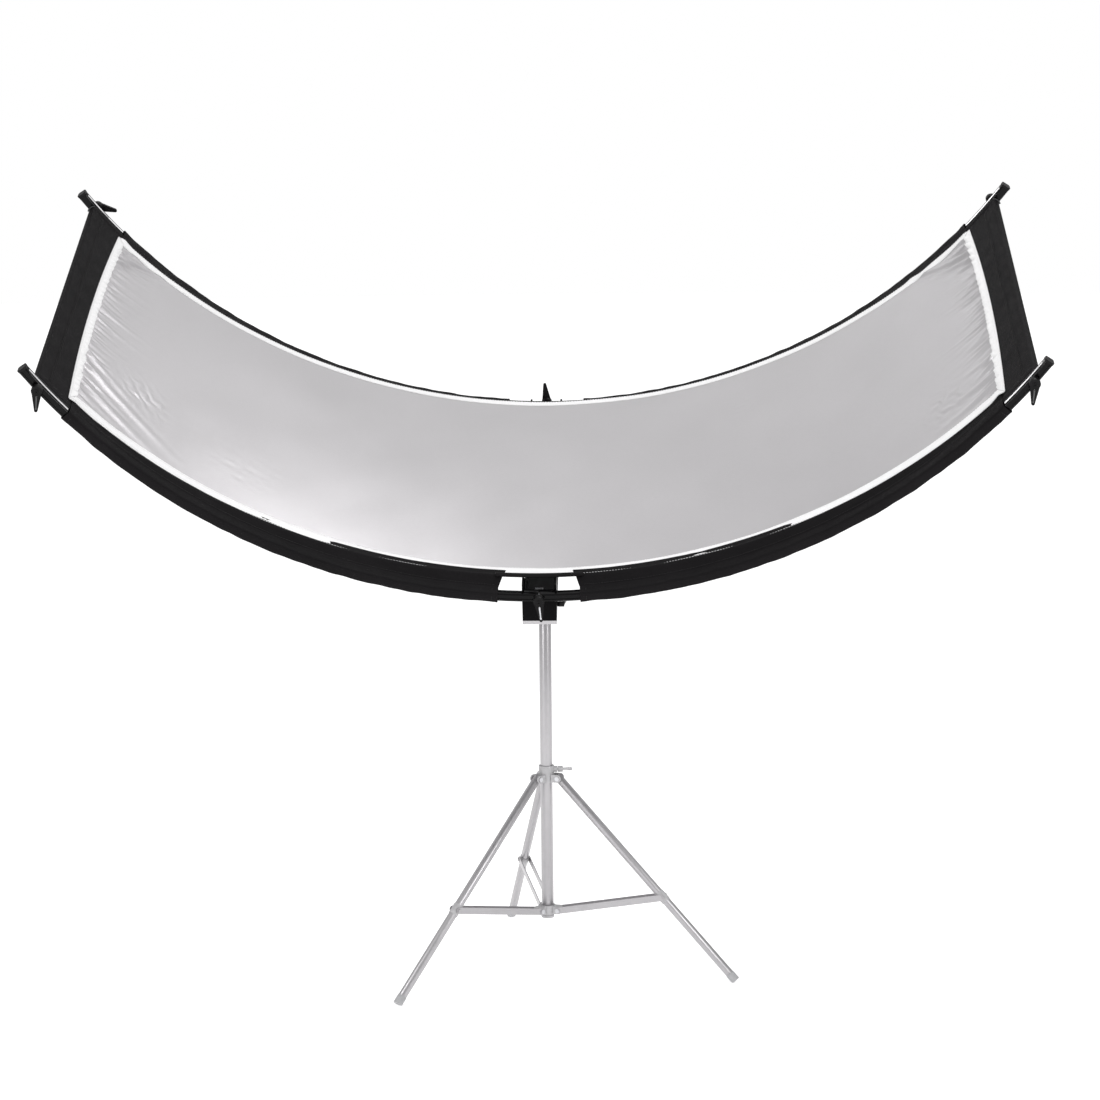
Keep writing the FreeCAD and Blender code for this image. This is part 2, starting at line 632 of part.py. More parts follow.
def column_plug():
    insert = cylinder(COLUMN_R - COLUMN_WALL - 0.02, Vector(0, 0, COLUMN_FOOT_Z - 2), Z, 16)
    beyond, thick = COLUMN_CAP
    cap = cylinder(COLUMN_R + beyond, Vector(0, 0, COLUMN_FOOT_Z - thick), Z, thick)
    return fused(insert, cap)


def lug(pivot, radius, half):
    """A flat lug from the collar out to a pivot, with a round end, centred on the X-Z plane."""
    arm = box((COLUMN_R + 1, pivot[0]), (-half, half), (pivot[1] - radius, pivot[1] + radius))
    return arm.fuse(cylinder(radius, Vector(pivot[0], -half, pivot[1]), Y, 2 * half))


def pin_hole(pivot, radius):
    return cylinder(radius, Vector(pivot[0], -15, pivot[1]), Y, 30)


def brace_collar():
    low, high = BRACE_COLLAR_Z
    body = cylinder(COLLAR_R, Vector(0, 0, low), Z, high - low)
    lugs = [radial(lug(BRACE_PIVOT, LUG_R, LUG_HALF), a) for a in LEG_AZIMUTHS.values()]
    body = fused(body, *lugs)
    for azimuth in LEG_AZIMUTHS.values():
        body = body.cut(radial(pin_hole(BRACE_PIVOT, PIN_R), azimuth))
    return body.cut(cylinder(COLUMN_R, Vector(0, 0, low - 1), Z, high - low + 2))


def leg_collar():
    """Slides on the column. Each leg hangs between a pair of ears."""
    low, high = LEG_COLLAR_Z
    ring = cylinder(COLLAR_R, Vector(0, 0, low), Z, high - low)
    boss = cylinder(LOCK_BOSS_R, Vector(COLUMN_R + 1, 0, LOCK_SCREW_Z), X, LOCK_BOSS_END - COLUMN_R - 1)
    ears = [radial(lug(LEG_PIVOT, LUG_R, EAR_OUTER), a) for a in LEG_AZIMUTHS.values()]
    body = fused(ring, boss, *ears)
    for azimuth in LEG_AZIMUTHS.values():
        slot = box((COLLAR_R + 0.3, 40), (-EAR_INNER, EAR_INNER), (low - 10, LEG_PIVOT[1] + 7.5))
        body = body.cut(radial(slot, azimuth)).cut(radial(pin_hole(LEG_PIVOT, PIN_R), azimuth))
    bore = cylinder(COLUMN_R + RUNNING, Vector(0, 0, low - 1), Z, high - low + 2)
    screw_hole = cylinder(PIN_R + RUNNING, Vector(0, 0, LOCK_SCREW_Z), X, 30)
    return body.cut(bore).cut(screw_hole)


def pins(pivot, outer_face):
    """Three rivets with a head on each side."""
    half = outer_face + FACE_GAP + PIN_HEAD[1]
    shank = cylinder(PIN_R, Vector(pivot[0], -half, pivot[1]), Y, 2 * half)
    heads = [cylinder(PIN_HEAD[0], Vector(pivot[0], y, pivot[1]), Y, PIN_HEAD[1])
             for y in (-half, half - PIN_HEAD[1])]
    pin = fused(shank, *heads)
    return Part.makeCompound([radial(pin, azimuth) for azimuth in LEG_AZIMUTHS.values()])


def leg_axis_point(distance):
    """A point on the leg's axis, so far down from its pivot, in the X-Z plane."""
    out, down = distance * math.sin(LEG_ANGLE), distance * math.cos(LEG_ANGLE)
    return Vector(LEG_PIVOT[0] + out, 0, LEG_PIVOT[1] - down)


def along_leg(radius, start, end):
    direction = Vector(math.sin(LEG_ANGLE), 0, -math.cos(LEG_ANGLE))
    return cylinder(radius, leg_axis_point(start), direction, end - start)


def leg():
    tube = along_leg(LEG_R, -LEG_ABOVE_PIVOT, LEG_LENGTH)
    bore = along_leg(LEG_R - LEG_WALL, -LEG_ABOVE_PIVOT - 1, LEG_LENGTH + 1)
    return tube.cut(bore).cut(pin_hole(LEG_PIVOT, PIN_R + RUNNING))


def foot():
    """Rubber tip over the leg's end, cut flat where it stands."""
    tip = along_leg(FOOT_R, LEG_LENGTH - FOOT_GRIP, LEG_LENGTH + FOOT_BEYOND)
    tip = tip.cut(along_leg(LEG_R, LEG_LENGTH - FOOT_GRIP - 1, LEG_LENGTH))
    return tip.cut(box((0, 500), (-50, 50), (-60, 0)))


def leg_clip():
    """Collar on the leg where the brace's straps are riveted."""
    middle = BRACE_SHARE * LEG_LENGTH
    clip = along_leg(CLIP_R, middle - CLIP_HALF, middle + CLIP_HALF)
    return clip.cut(along_leg(LEG_R, middle - 20, middle + 20))


def brace():
    """Two flat straps, one each side of the leg, from the lower collar to the leg."""
    joint = leg_axis_point(BRACE_SHARE * LEG_LENGTH)
    start = Vector(BRACE_PIVOT[0], 0, BRACE_PIVOT[1])
    length = (joint - start).Length
    strap = box((0, length), (0, STRAP_THICK), (-STRAP_HALF, STRAP_HALF))
    ends = [cylinder(STRAP_HALF, Vector(x, 0, 0), Y, STRAP_THICK) for x in (0, length)]
    rivet = cylinder(RIVET[0], Vector(length, STRAP_THICK, 0), Y, RIVET[1])
    dome = cylinder(RIVET_DOME[0], Vector(length, STRAP_THICK + RIVET[1], 0), Y, RIVET_DOME[1])
    strap = fused(strap, *ends, rivet, dome)
    strap = strap.cut(cylinder(PIN_R + RUNNING, Vector(0, -1, 0), Y, 8))
    strap.translate(Vector(0, STRAP_INNER, 0))
    pair = Part.makeCompound([strap, strap.mirror(ORIGIN, Y)])
    rise = math.degrees(math.atan2(joint.z - start.z, joint.x - start.x))
    pair.rotate(ORIGIN, Y, -rise)
    pair.translate(start)
    return pair


# ---- build ----------------------------------------------------------------------------------
def build_reflector():
    rail = rear_rail_right()
    sleeve = rear_sleeve_right()
    for name, shape in (("rail", rail), ("sleeve", sleeve)):
        export(placed(shape), "rear_" + name + "_right")
        export(placed(mirrored(shape)), "rear_" + name + "_left")
        export(placed(front_of(shape)), "front_" + name + "_right")
        export(placed(front_of(mirrored(shape))), "front_" + name + "_left")
    splice = rear_splice()
    export(placed(splice), "rear_rail_splice")
    export(placed(front_of(splice)), "front_rail_splice")
    cap = rear_right_cap()
    caps = [cap, mirrored(cap), front_of(cap), front_of(mirrored(cap))]
    export(placed(Part.makeCompound(caps)), "rail_end_caps")
    export(placed(right_end_bar()), "right_end_bar")
    export(placed(mirrored(right_end_bar())), "left_end_bar")
    export(placed(right_end_panel()), "right_end_panel")
    export(placed(mirrored(right_end_panel())), "left_end_panel")
    export(placed(reflective_sheet()), "reflective_sheet")
    export(placed(edge_binding()), "edge_binding")
    export(placed(crossbar()), "crossbar")
    export(placed(rear_bracket()), "rear_bracket")
    export(placed(front_bracket()), "front_bracket")
    export(placed(base_plate()), "crossbar_base_plate")
    export(placed(spacer()), "crossbar_spacer")
    export(placed(Part.makeCompound([clamp_nut(), front_of(clamp_nut())])), "clamp_nuts")
    export(placed(lever_washers()), "lever_washers")
    export(placed(yoke()), "tilt_yoke")
    export(placed(yoke_screws()), "yoke_screws")
    export(placed(tilt_nut()), "tilt_nut")


def build_levers():
    for name, turn in CORNER_TURNS.items():
        made = corner_lever(turn)
        if name.endswith("left"):
            made = mirrored(made)
        if name.startswith("front"):
            made = front_of(made)
        export(placed(made), name + "_lever")
    export(placed(centre_lever(REAR_CENTRE_TURN)), "rear_centre_lever")
    export(placed(front_of(centre_lever(FRONT_CENTRE_TURN))), "front_centre_lever")
    export(placed(side_lever()), "side_lever")
    export(tilt_lever(), "tilt_lever")
    export(swivel_lock_knob(), "swivel_lock_knob")
    export(collar_lock_knob(), "collar_lock_knob")


def build_stand():
    export(head_block(), "tilt_head")
    export(column_tube(), "column_tube")
    export(column_spigot(), "column_spigot")
    export(column_plug(), "column_plug")
    export(leg_collar(), "leg_collar")
    export(brace_collar(), "brace_collar")
    export(pins(LEG_PIVOT, EAR_OUTER), "leg_pins")
    export(pins(BRACE_PIVOT, STRAP_INNER + STRAP_THICK), "brace_pins")
    for name, azimuth in LEG_AZIMUTHS.items():
        export(radial(leg(), azimuth), name + "_leg")
        export(radial(foot(), azimuth), name + "_foot")
        export(radial(leg_clip(), azimuth), name + "_leg_clip")
        export(radial(brace(), azimuth), name + "_brace")


os.makedirs("parts", exist_ok=True)
build_reflector()
build_levers()
build_stand()
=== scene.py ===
import json
import math

import bpy
import numpy as np
from mathutils import Matrix, Quaternion, Vector


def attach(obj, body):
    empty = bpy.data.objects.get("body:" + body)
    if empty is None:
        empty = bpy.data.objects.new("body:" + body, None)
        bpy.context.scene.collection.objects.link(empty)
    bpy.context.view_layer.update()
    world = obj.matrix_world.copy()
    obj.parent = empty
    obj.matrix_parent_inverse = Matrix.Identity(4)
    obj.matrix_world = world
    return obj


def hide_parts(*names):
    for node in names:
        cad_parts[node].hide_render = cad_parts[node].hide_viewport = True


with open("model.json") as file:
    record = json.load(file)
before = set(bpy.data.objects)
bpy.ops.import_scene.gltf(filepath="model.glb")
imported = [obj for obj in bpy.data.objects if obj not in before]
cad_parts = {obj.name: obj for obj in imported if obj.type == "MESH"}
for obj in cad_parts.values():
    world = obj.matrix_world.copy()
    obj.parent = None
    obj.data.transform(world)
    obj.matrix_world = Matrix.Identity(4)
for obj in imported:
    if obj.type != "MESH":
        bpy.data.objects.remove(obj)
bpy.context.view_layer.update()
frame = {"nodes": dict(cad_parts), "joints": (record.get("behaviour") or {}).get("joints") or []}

# A curved photographic light reflector on a folding stand. Metres, as in the CAD part.
# The reflector's own frame: angle along the arc from its lowest point, place across the width
# (rear positive), and height over the rail line, towards the arc's centre.
ARC_RADIUS = 0.860                     # of the rails' centre lines
TILT = math.radians(22.0)              # the rear edge is up
PIVOT_DROP = 0.095                     # from the arc's lowest point down to the tilt pivot
JOINTS = {joint["name"]: joint for joint in frame["joints"]}
PIVOT = Vector(JOINTS["reflector_tilt"]["pos_m"])

SEAM = math.radians(50.40)             # where the sheet meets the end panels
GAP = math.radians(3.964)              # the rails are bare from here to the middle
SLEEVE_END = math.radians(49.94)
RAIL_END = math.radians(56.0 - 0.27)   # where the end caps begin
RAIL_Y = 0.290                         # the rails' centre lines, across
SHEET_HALF = 0.264                     # half the sheet's width
SHEET_THICK = 0.0009
SHEET_CROWN = 0.021                    # how far the sheet rises between its edges
SEAM_BOW = 0.009                       # how far the end seams bow outward at mid width
OVER_RAIL = 0.008                      # the cloth's height where it lies on the rails
BORDER_OUTER = 0.2817                  # where the black border leaves the rail
BORDER_RISE = 0.010                    # how far the border rises from there to the sheet
REAR_RISE = 0.003                      # the rear edge is pulled a little higher than the front one
LONG_BINDING = 0.018                   # widths of the white tape
END_BINDING = 0.013
BINDING_PROUD = 0.0004                 # how far the tape stands past the sheet's edge
BINDING_COLUMNS = 9
OUTER_STITCHES = 0.0022                # from the tape's outer edge
INNER_STITCHES = 0.0018                # from the tape's inner edge
HEM = 0.0092                           # from a sleeve's end to its stitches
SLEEVE_THICK = 0.0008
SLEEVE_STEP = 0.0035                   # about how far apart a sleeve outline's points are
UNDER_SHEET = 0.0016                   # how far the border's flap lies below the sheet's top
PANEL_THICK = 0.0009
PANEL_HALF = 0.2829                    # half the end panels' width
PANEL_SIDE_STITCHES = 0.0100           # from a panel's side edge
PANEL_SEAM_STITCHES = (0.0350, 0.0375)   # from the end seam, where the panel is sewn back on itself
PIPING_RADIUS = 0.0015
GAP_TAPE_THICK = 0.0005
CLOTH_WEAVE = 0.0013                   # thread spacings
SILVER_WEAVE = 0.0011
TWILL = 0.0013
RIB_RAKE = math.radians(14.0)          # the lever wings lean away from the rails
RIB_HUB = 0.0065                       # from a lever's axis to where its rib starts
LEVER_HUB_TOP = 0.0107                 # from a frame lever's joint to its screw head
TILT_HUB_TOP = 0.009
CAP_POINTS = 24                        # points round a screw head

SIDES = {"rear": 1, "front": -1}
HANDS = {"right": 1, "left": -1}


# ---- geometry helpers -----------------------------------------------------------------------
def to_row(angle, across, height):
    """Row-frame points of places on the reflector, from arrays that broadcast together."""
    angle, across, height = np.broadcast_arrays(angle, across, height)
    radius = ARC_RADIUS - height
    x = radius * np.sin(angle)
    up = ARC_RADIUS - radius * np.cos(angle) + PIVOT_DROP
    y = across * math.cos(TILT) - up * math.sin(TILT) + PIVOT.y
    z = across * math.sin(TILT) + up * math.cos(TILT) + PIVOT.z
    return np.stack([x, y, z], -1)


def smooth_step(low, high, value):
    """0 below low, 1 above high, and a smooth rise between them."""
    share = np.clip((value - low) / (high - low), 0, 1)
    return share * share * (3 - 2 * share)


def soft_noise(first, second, seed, wavelength, count=14):
    """Smooth noise between about -1 and 1 from seeded waves, over two lengths in metres."""
    rng = np.random.default_rng(seed)
    total = 0
    for _ in range(count):
        turn = rng.uniform(0, 2 * math.pi)
        wave = 2 * math.pi / (wavelength * rng.uniform(0.6, 1.8))
        ahead = first * math.cos(turn) + second * math.sin(turn)
        total = total + np.sin(wave * ahead + rng.uniform(0, 6.3))
    return total / math.sqrt(count)


def make_object(name, verts, faces, material, body, uv=None, smooth=True):
    """A piece that rides on a body, from vertices and faces, with one material or a list of them."""
    mesh = bpy.data.meshes.new(name)
    points = np.asarray(verts, float).reshape(-1, 3).tolist()
    mesh.from_pydata(points, [], [list(map(int, face)) for face in faces])
    mesh.polygons.foreach_set("use_smooth", [smooth] * len(mesh.polygons))
    if uv is not None:
        layer = mesh.uv_layers.new(name="UVMap")
        corner = np.zeros(len(mesh.loops), np.int32)
        mesh.loops.foreach_get("vertex_index", corner)
        layer.data.foreach_set("uv", np.asarray(uv, np.float32).reshape(-1, 2)[corner].ravel())
    mesh.update()
    obj = bpy.data.objects.new(name, mesh)
    bpy.context.scene.collection.objects.link(obj)
    for one in material if isinstance(material, (list, tuple)) else [material]:
        mesh.materials.append(one)
    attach(obj, body)
    return obj


def grid_faces(rows, cols, start=0, flip=False):
    """Quads over a grid of vertices numbered row by row."""
    index = np.arange(rows * cols).reshape(rows, cols) + start
    quads = np.stack([index[:-1, :-1], index[1:, :-1], index[1:, 1:], index[:-1, 1:]], -1)
    quads = quads.reshape(-1, 4)
    return quads[:, ::-1] if flip else quads


def cloth_grid(name, angle, across, height, material, body, flip=False):
    """A cloth surface from arrays of places, rows along the arc by columns across."""
    angle, across, height = np.broadcast_arrays(angle, across, height)
    points = to_row(angle, across, height)
    steps = np.hypot(np.diff(across.mean(0)), np.diff(height.mean(0)))
    run = np.concatenate([[0], np.cumsum(steps)])
    uv = np.stack([angle * ARC_RADIUS, np.broadcast_to(run, angle.shape)], -1)
    faces = grid_faces(*angle.shape, flip=flip)
    return make_object(name, points, faces, material, body, uv)


def thicken(obj, thickness, back_slot=0):
    """Gives a cloth surface its thickness, on the side away from its faces' fronts."""
    solid = obj.modifiers.new("thickness", "SOLIDIFY")
    solid.thickness = thickness
    solid.offset = -1.0
    solid.material_offset = back_slot
    solid.material_offset_rim = back_slot
    return obj


def subdivide(obj):
    sub = obj.modifiers.new("smooth", "SUBSURF")
    sub.levels = sub.render_levels = 1
    return obj


def tube_mesh(points, radius, sides=8):
    """Vertices and faces of a closed tube along a line of points."""
    points = np.asarray(points, float)
    tangent = np.gradient(points, axis=0)
    tangent /= np.linalg.norm(tangent, axis=1)[:, None]
    guide = np.array([0.31, 0.95, 0.11])    # a direction that none of the lines takes
    side = np.cross(tangent, guide)
    side /= np.linalg.norm(side, axis=1)[:, None]
    other = np.cross(tangent, side)
    turn = np.linspace(0, 2 * math.pi, sides, endpoint=False)
    radius = np.broadcast_to(radius, len(points))
    ring = (np.cos(turn)[None, :, None] * side[:, None]
            + np.sin(turn)[None, :, None] * other[:, None])
    verts = points[:, None] + ring * radius[:, None, None]
    faces = []
    for i in range(len(points) - 1):
        for k in range(sides):
            n = (k + 1) % sides
            faces.append((i * sides + k, i * sides + n, (i + 1) * sides + n, (i + 1) * sides + k))
    faces.append(tuple(range(sides - 1, -1, -1)))
    faces.append(tuple(range((len(points) - 1) * sides, len(points) * sides)))
    return verts.reshape(-1, 3), faces


def joined(parts):
    """One list of vertices and one of faces from several pairs of them."""
    verts, faces, start = [], [], 0
    for part_verts, part_faces in parts:
        verts.append(part_verts)
        faces += [tuple(i + start for i in face) for face in part_faces]
        start += len(part_verts)
    return np.concatenate(verts), faces


def stitch_line(angle, across, height, pitch=0.0042, length=0.0031, radius=0.00032):
    """A row of short thread stitches along a line on the cloth, as vertices and faces."""
    centre = to_row(angle, across, height)
    upward = (to_row(angle, across, np.asarray(height) + 0.001) - centre) * 1000
    along = np.concatenate([[0], np.cumsum(np.linalg.norm(np.diff(centre, axis=0), axis=1))])
    places = np.arange(pitch, along[-1] - pitch, pitch)
    parts = []
    for place in places:
        start, end = place - length / 2, place + length / 2
        marks = np.array([start, start + length * 0.22, end - length * 0.22, end])
        line = np.stack([np.interp(marks, along, centre[:, k]) for k in range(3)], -1)
        lift = np.stack([np.interp(place, along, upward[:, k]) for k in range(3)], -1)
        line += lift[None] * np.array([-0.2, 0.75, 0.75, -0.2])[:, None] * radius
        parts.append(tube_mesh(line, np.array([0.55, 1, 1, 0.55]) * radius, sides=5))
    return parts


# ---- materials ------------------------------------------------------------------------------
class Shader:
    """A material under construction, with short ways to add and join its nodes."""

    def __init__(self, name, **sockets):
        self.material = bpy.data.materials.new(name)
        self.material.use_nodes = True
        self.tree = self.material.node_tree
        self.tree.nodes.clear()
        output = self.tree.nodes.new("ShaderNodeOutputMaterial")
        self.main = self.tree.nodes.new("ShaderNodeBsdfPrincipled")
        self.tree.links.new(self.main.outputs[0], output.inputs[0])
        for socket, value in sockets.items():
            self.main.inputs[socket.replace("_", " ")].default_value = value
        self.normal = None

    def add(self, kind, settings=None, **inputs):
        node = self.tree.nodes.new(kind)
        for key, value in (settings or {}).items():
            setattr(node, key, value)
        for key, value in inputs.items():
            self.put(node.inputs[key.replace("_", " ")], value)
        return node

    def put(self, socket, value):
        if isinstance(value, bpy.types.NodeSocket):
            self.tree.links.new(value, socket)
        elif isinstance(value, bpy.types.Node):
            self.tree.links.new(value.outputs[0], socket)
        else:
            socket.default_value = value

    def coordinates(self, kind="Object", scale=(1, 1, 1), turn=0.0):
        if kind == "UV":
            source = self.add("ShaderNodeUVMap", {"uv_map": "UVMap"}).outputs[0]
        else:
            source = self.add("ShaderNodeTexCoord").outputs[kind]
        return self.add("ShaderNodeMapping", Vector=source, Scale=scale, Rotation=(0, 0, turn)).outputs[0]

    def noise(self, where, scale, detail=3.0, roughness=0.55):
        return self.add("ShaderNodeTexNoise", Vector=where, Scale=scale, Detail=detail,
                        Roughness=roughness).outputs[0]

    def ramp(self, value, low, high, dark, light):
        """Maps low..high of a value to a range between two numbers."""
        node = self.add("ShaderNodeMapRange", Value=value)
        ends = {"From Min": low, "From Max": high, "To Min": dark, "To Max": light}
        for key, number in ends.items():
            node.inputs[key].default_value = number
        return node.outputs[0]

    def varied(self, value, dark, light):
        """The same for a noise, whose values lie mostly between 0.3 and 0.7."""
        return self.ramp(value, 0.3, 0.7, dark, light)

    def math(self, operation, first, second):
        node = self.tree.nodes.new("ShaderNodeMath")
        node.operation = operation
        self.put(node.inputs[0], first)
        self.put(node.inputs[1], second)
        return node.outputs[0]

    def tint(self, colour, factor):
        """Sets the base colour to a colour times a varying factor."""
        node = self.tree.nodes.new("ShaderNodeVectorMath")
        node.operation = "SCALE"
        node.inputs[0].default_value = colour
        self.put(node.inputs["Scale"], factor)
        self.put(self.main.inputs["Base Color"], node.outputs[0])

    def bump(self, height, distance, strength):
        """Adds a bump on top of those before it."""
        node = self.add("ShaderNodeBump", Height=height)
        node.inputs["Distance"].default_value = distance
        node.inputs["Strength"].default_value = strength
        if self.normal is not None:
            self.put(node.inputs["Normal"], self.normal)
        self.normal = node.outputs[0]
        self.put(self.main.inputs["Normal"], self.normal)

    def ribs(self, where, direction, period, distortion=0.0):
        """Height of threads side by side, with that spacing."""
        return self.add("ShaderNodeTexWave", {"bands_direction": direction}, Vector=where,
                        Scale=2 * math.pi / (20 * period), Distortion=distortion).outputs[1]

    def weave(self, period):
        """Height of a plain weave with that thread spacing, over a cloth's own UV lengths."""
        where = self.coordinates("UV")
        return self.math("MULTIPLY", self.ribs(where, "X", period), self.ribs(where, "Y", period))


def silver_cloth():
    s = Shader("silver_cloth_front", Metallic=0.68, Sheen_Weight=0.15, Sheen_Roughness=0.4)
    where = s.coordinates("UV")
    broad = s.noise(where, 5.0, 4.0)
    fibres = s.noise(s.coordinates("UV", scale=(1, 9, 1)), 130.0, 4.0)
    mixed = s.math("MULTIPLY", s.varied(broad, 0.965, 1.02), s.varied(fibres, 0.97, 1.02))
    weave = s.weave(SILVER_WEAVE)
    s.tint((0.525, 0.512, 0.525), s.math("MULTIPLY", mixed, s.ramp(weave, 0, 1, 0.955, 1.02)))
    s.put(s.main.inputs["Roughness"], s.varied(broad, 0.35, 0.42))
    s.bump(weave, 0.0002, 0.25)
    s.bump(s.noise(where, 38.0, 4.0), 0.0012, 0.22)
    return s.material


def silver_cloth_back():
    s = Shader("silver_cloth_back", Metallic=0.0, Sheen_Weight=0.25, Sheen_Roughness=0.5)
    fibres = s.noise(s.coordinates("UV"), 180.0, 4.0)
    weave = s.weave(SILVER_WEAVE)
    shade = s.math("MULTIPLY", s.varied(fibres, 0.9, 1.05), s.ramp(weave, 0, 1, 0.85, 1.05))
    s.tint((0.42, 0.42, 0.43), shade)
    s.put(s.main.inputs["Roughness"], s.varied(fibres, 0.68, 0.8))
    s.bump(weave, 0.0003, 0.5)
    return s.material


def white_tape():
    s = Shader("white_tape", Sheen_Weight=0.2, Sheen_Roughness=0.4)
    twill = s.ribs(s.coordinates("UV", turn=math.radians(58)), "X", TWILL, 0.4)
    fibres = s.noise(s.coordinates("UV"), 160.0, 4.0)
    shade = s.math("MULTIPLY", s.ramp(twill, 0, 1, 0.94, 1.02), s.varied(fibres, 0.96, 1.02))
    s.tint((0.86, 0.855, 0.86), shade)
    s.put(s.main.inputs["Roughness"], s.varied(fibres, 0.5, 0.64))
    s.bump(twill, 0.0002, 0.35)
    return s.material


def black_cloth():
    s = Shader("black_nylon", Specular_IOR_Level=0.08)
    where = s.coordinates("UV")
    broad = s.noise(where, 9.0, 5.0)
    fibres = s.noise(where, 220.0, 4.0)
    weave = s.weave(CLOTH_WEAVE)
    shade = s.math("MULTIPLY", s.varied(broad, 0.8, 1.2), s.varied(fibres, 0.8, 1.2))
    s.tint((0.0068, 0.0060, 0.0068), s.math("MULTIPLY", shade, s.ramp(weave, 0, 1, 0.7, 1.2)))
    s.put(s.main.inputs["Roughness"], s.varied(fibres, 0.52, 0.68))
    s.bump(weave, 0.0003, 0.5)
    s.bump(s.noise(where, 60.0, 3.0), 0.0008, 0.3)
    return s.material


def thread(name, colour):
    """Sewing thread or piping cloth with uneven plies."""
    s = Shader(name, Sheen_Weight=0.06, Specular_IOR_Level=0.3)
    ply = s.noise(s.coordinates(), 1500.0, 3.0)
    s.tint(colour, s.varied(ply, 0.8, 1.15))
    s.put(s.main.inputs["Roughness"], s.varied(ply, 0.5, 0.7))
    return s.material


def metal(name, colour, metallic, rough, grain=(1, 1, 1), vary=0.08, bump=0.00005,
          specular=0.5):
    """Satin metal with a fine grain, faint handling marks and slightly uneven gloss."""
    s = Shader(name, Metallic=metallic, Specular_IOR_Level=specular)
    fine = s.noise(s.coordinates(scale=grain), 900.0, 4.0)
    marks = s.noise(s.coordinates(), 45.0, 5.0, 0.65)
    s.tint(colour, s.math("MULTIPLY", s.varied(fine, 1 - vary, 1 + vary),
                          s.ramp(marks, 0.35, 0.65, 1 - vary, 1 + vary)))
    s.put(s.main.inputs["Roughness"], s.math("ADD", s.varied(fine, rough[0], rough[1]),
                                             s.ramp(marks, 0.45, 0.75, 0.0, 0.04)))
    s.bump(fine, bump, 0.5)
    return s.material


def moulded(name, colour, rough, scale=1400.0, bump=0.00008, specular=0.5):
    """Moulded plastic or rubber with a fine spark-eroded grain."""
    s = Shader(name, Specular_IOR_Level=specular)
    cells = s.add("ShaderNodeTexVoronoi", Vector=s.coordinates(), Scale=scale).outputs[0]
    marks = s.noise(s.coordinates(), 70.0, 5.0)
    s.tint(colour, s.math("MULTIPLY", s.ramp(cells, 0, 0.8, 0.9, 1.08), s.varied(marks, 0.9, 1.1)))
    s.put(s.main.inputs["Roughness"], s.varied(marks, rough[0], rough[1]))
    s.bump(cells, bump, 0.6)
    return s.material


# The finishes are made once. Those of the table are found by the record's slot names, with two more
# for the ribs and for the bright rail strips, which are a painted highlight.
SILVER = silver_cloth()
SILVER_BACK = silver_cloth_back()
WHITE = white_tape()
BLACK = black_cloth()
WHITE_THREAD = thread("white_thread", (0.9, 0.9, 0.9))
BLACK_THREAD = thread("black_thread", (0.008, 0.0073, 0.008))
# The piping is black cloth with its colour lifted well above the other black cloth: painted sheen for the
# light line along the panels' edges.
PIPING_PAINTED_SHEEN = thread("black_piping_painted_sheen", (0.035, 0.035, 0.037))
FINISHES = {
    "black_anodised": metal("black_anodised_metal", (0.0025, 0.0023, 0.0027), 0.0, (0.11, 0.15),
                            specular=0.12),
    "black_plate": metal("black_powder_coat", (0.0025, 0.0023, 0.0027), 0.0, (0.34, 0.44),
                         bump=0.00008, specular=0.04),
    "polished": moulded("glossy_black_plastic", (0.012, 0.0115, 0.0125), (0.10, 0.16),
                        specular=0.9, bump=0.00002),
    "black_plastic": moulded("black_moulded_plastic", (0.005, 0.0047, 0.0052), (0.30, 0.40),
                             specular=0.12),
    "steel": metal("zinc_plated_steel", (0.56, 0.56, 0.58), 1.0, (0.24, 0.36)),
    "silver_aluminium": metal("natural_aluminium", (0.43, 0.42, 0.432), 0.85, (0.29, 0.34),
                              grain=(1, 1, 0.05), vary=0.025, bump=0.00002),
    # Near-white metal for the rail strips, a painted highlight on the rails' bare ends.
    "painted_highlight_strip": metal("painted_highlight_metal_strip", (0.80, 0.79, 0.80), 1.0, (0.20, 0.28),
                          vary=0.03, bump=0.00002),
    "grey_plastic": moulded("grey_moulded_plastic", (0.43, 0.425, 0.435), (0.36, 0.48)),
    "grey_rubber": moulded("grey_rubber_tip", (0.40, 0.40, 0.41), (0.62, 0.75), scale=900.0),
}


# ---- the reflective sheet -------------------------------------------------------------------
def seam_angle(across):
    """Angle of the end seams, which bow outward between the rails."""
    return SEAM + SEAM_BOW * np.clip(1 - (across / SHEET_HALF) ** 2, 0, None) / ARC_RADIUS


def cloth_height(angle, across):
    """Height of the plain cloth's upper side, as in the CAD part but for the rear edge's rise."""
    full = 1 - (np.abs(angle) / SEAM) ** 2
    far = np.abs(across)
    crown = SHEET_CROWN * np.clip(1 - (far / SHEET_HALF) ** 2, 0, None)
    full_rise = BORDER_RISE + REAR_RISE * smooth_step(-0.10, SHEET_HALF, across)
    rise = full_rise * np.clip((BORDER_OUTER - far) / (BORDER_OUTER - SHEET_HALF), 0, 1)
    return OVER_RAIL + np.clip(full, -0.02, None) * (rise + crown)


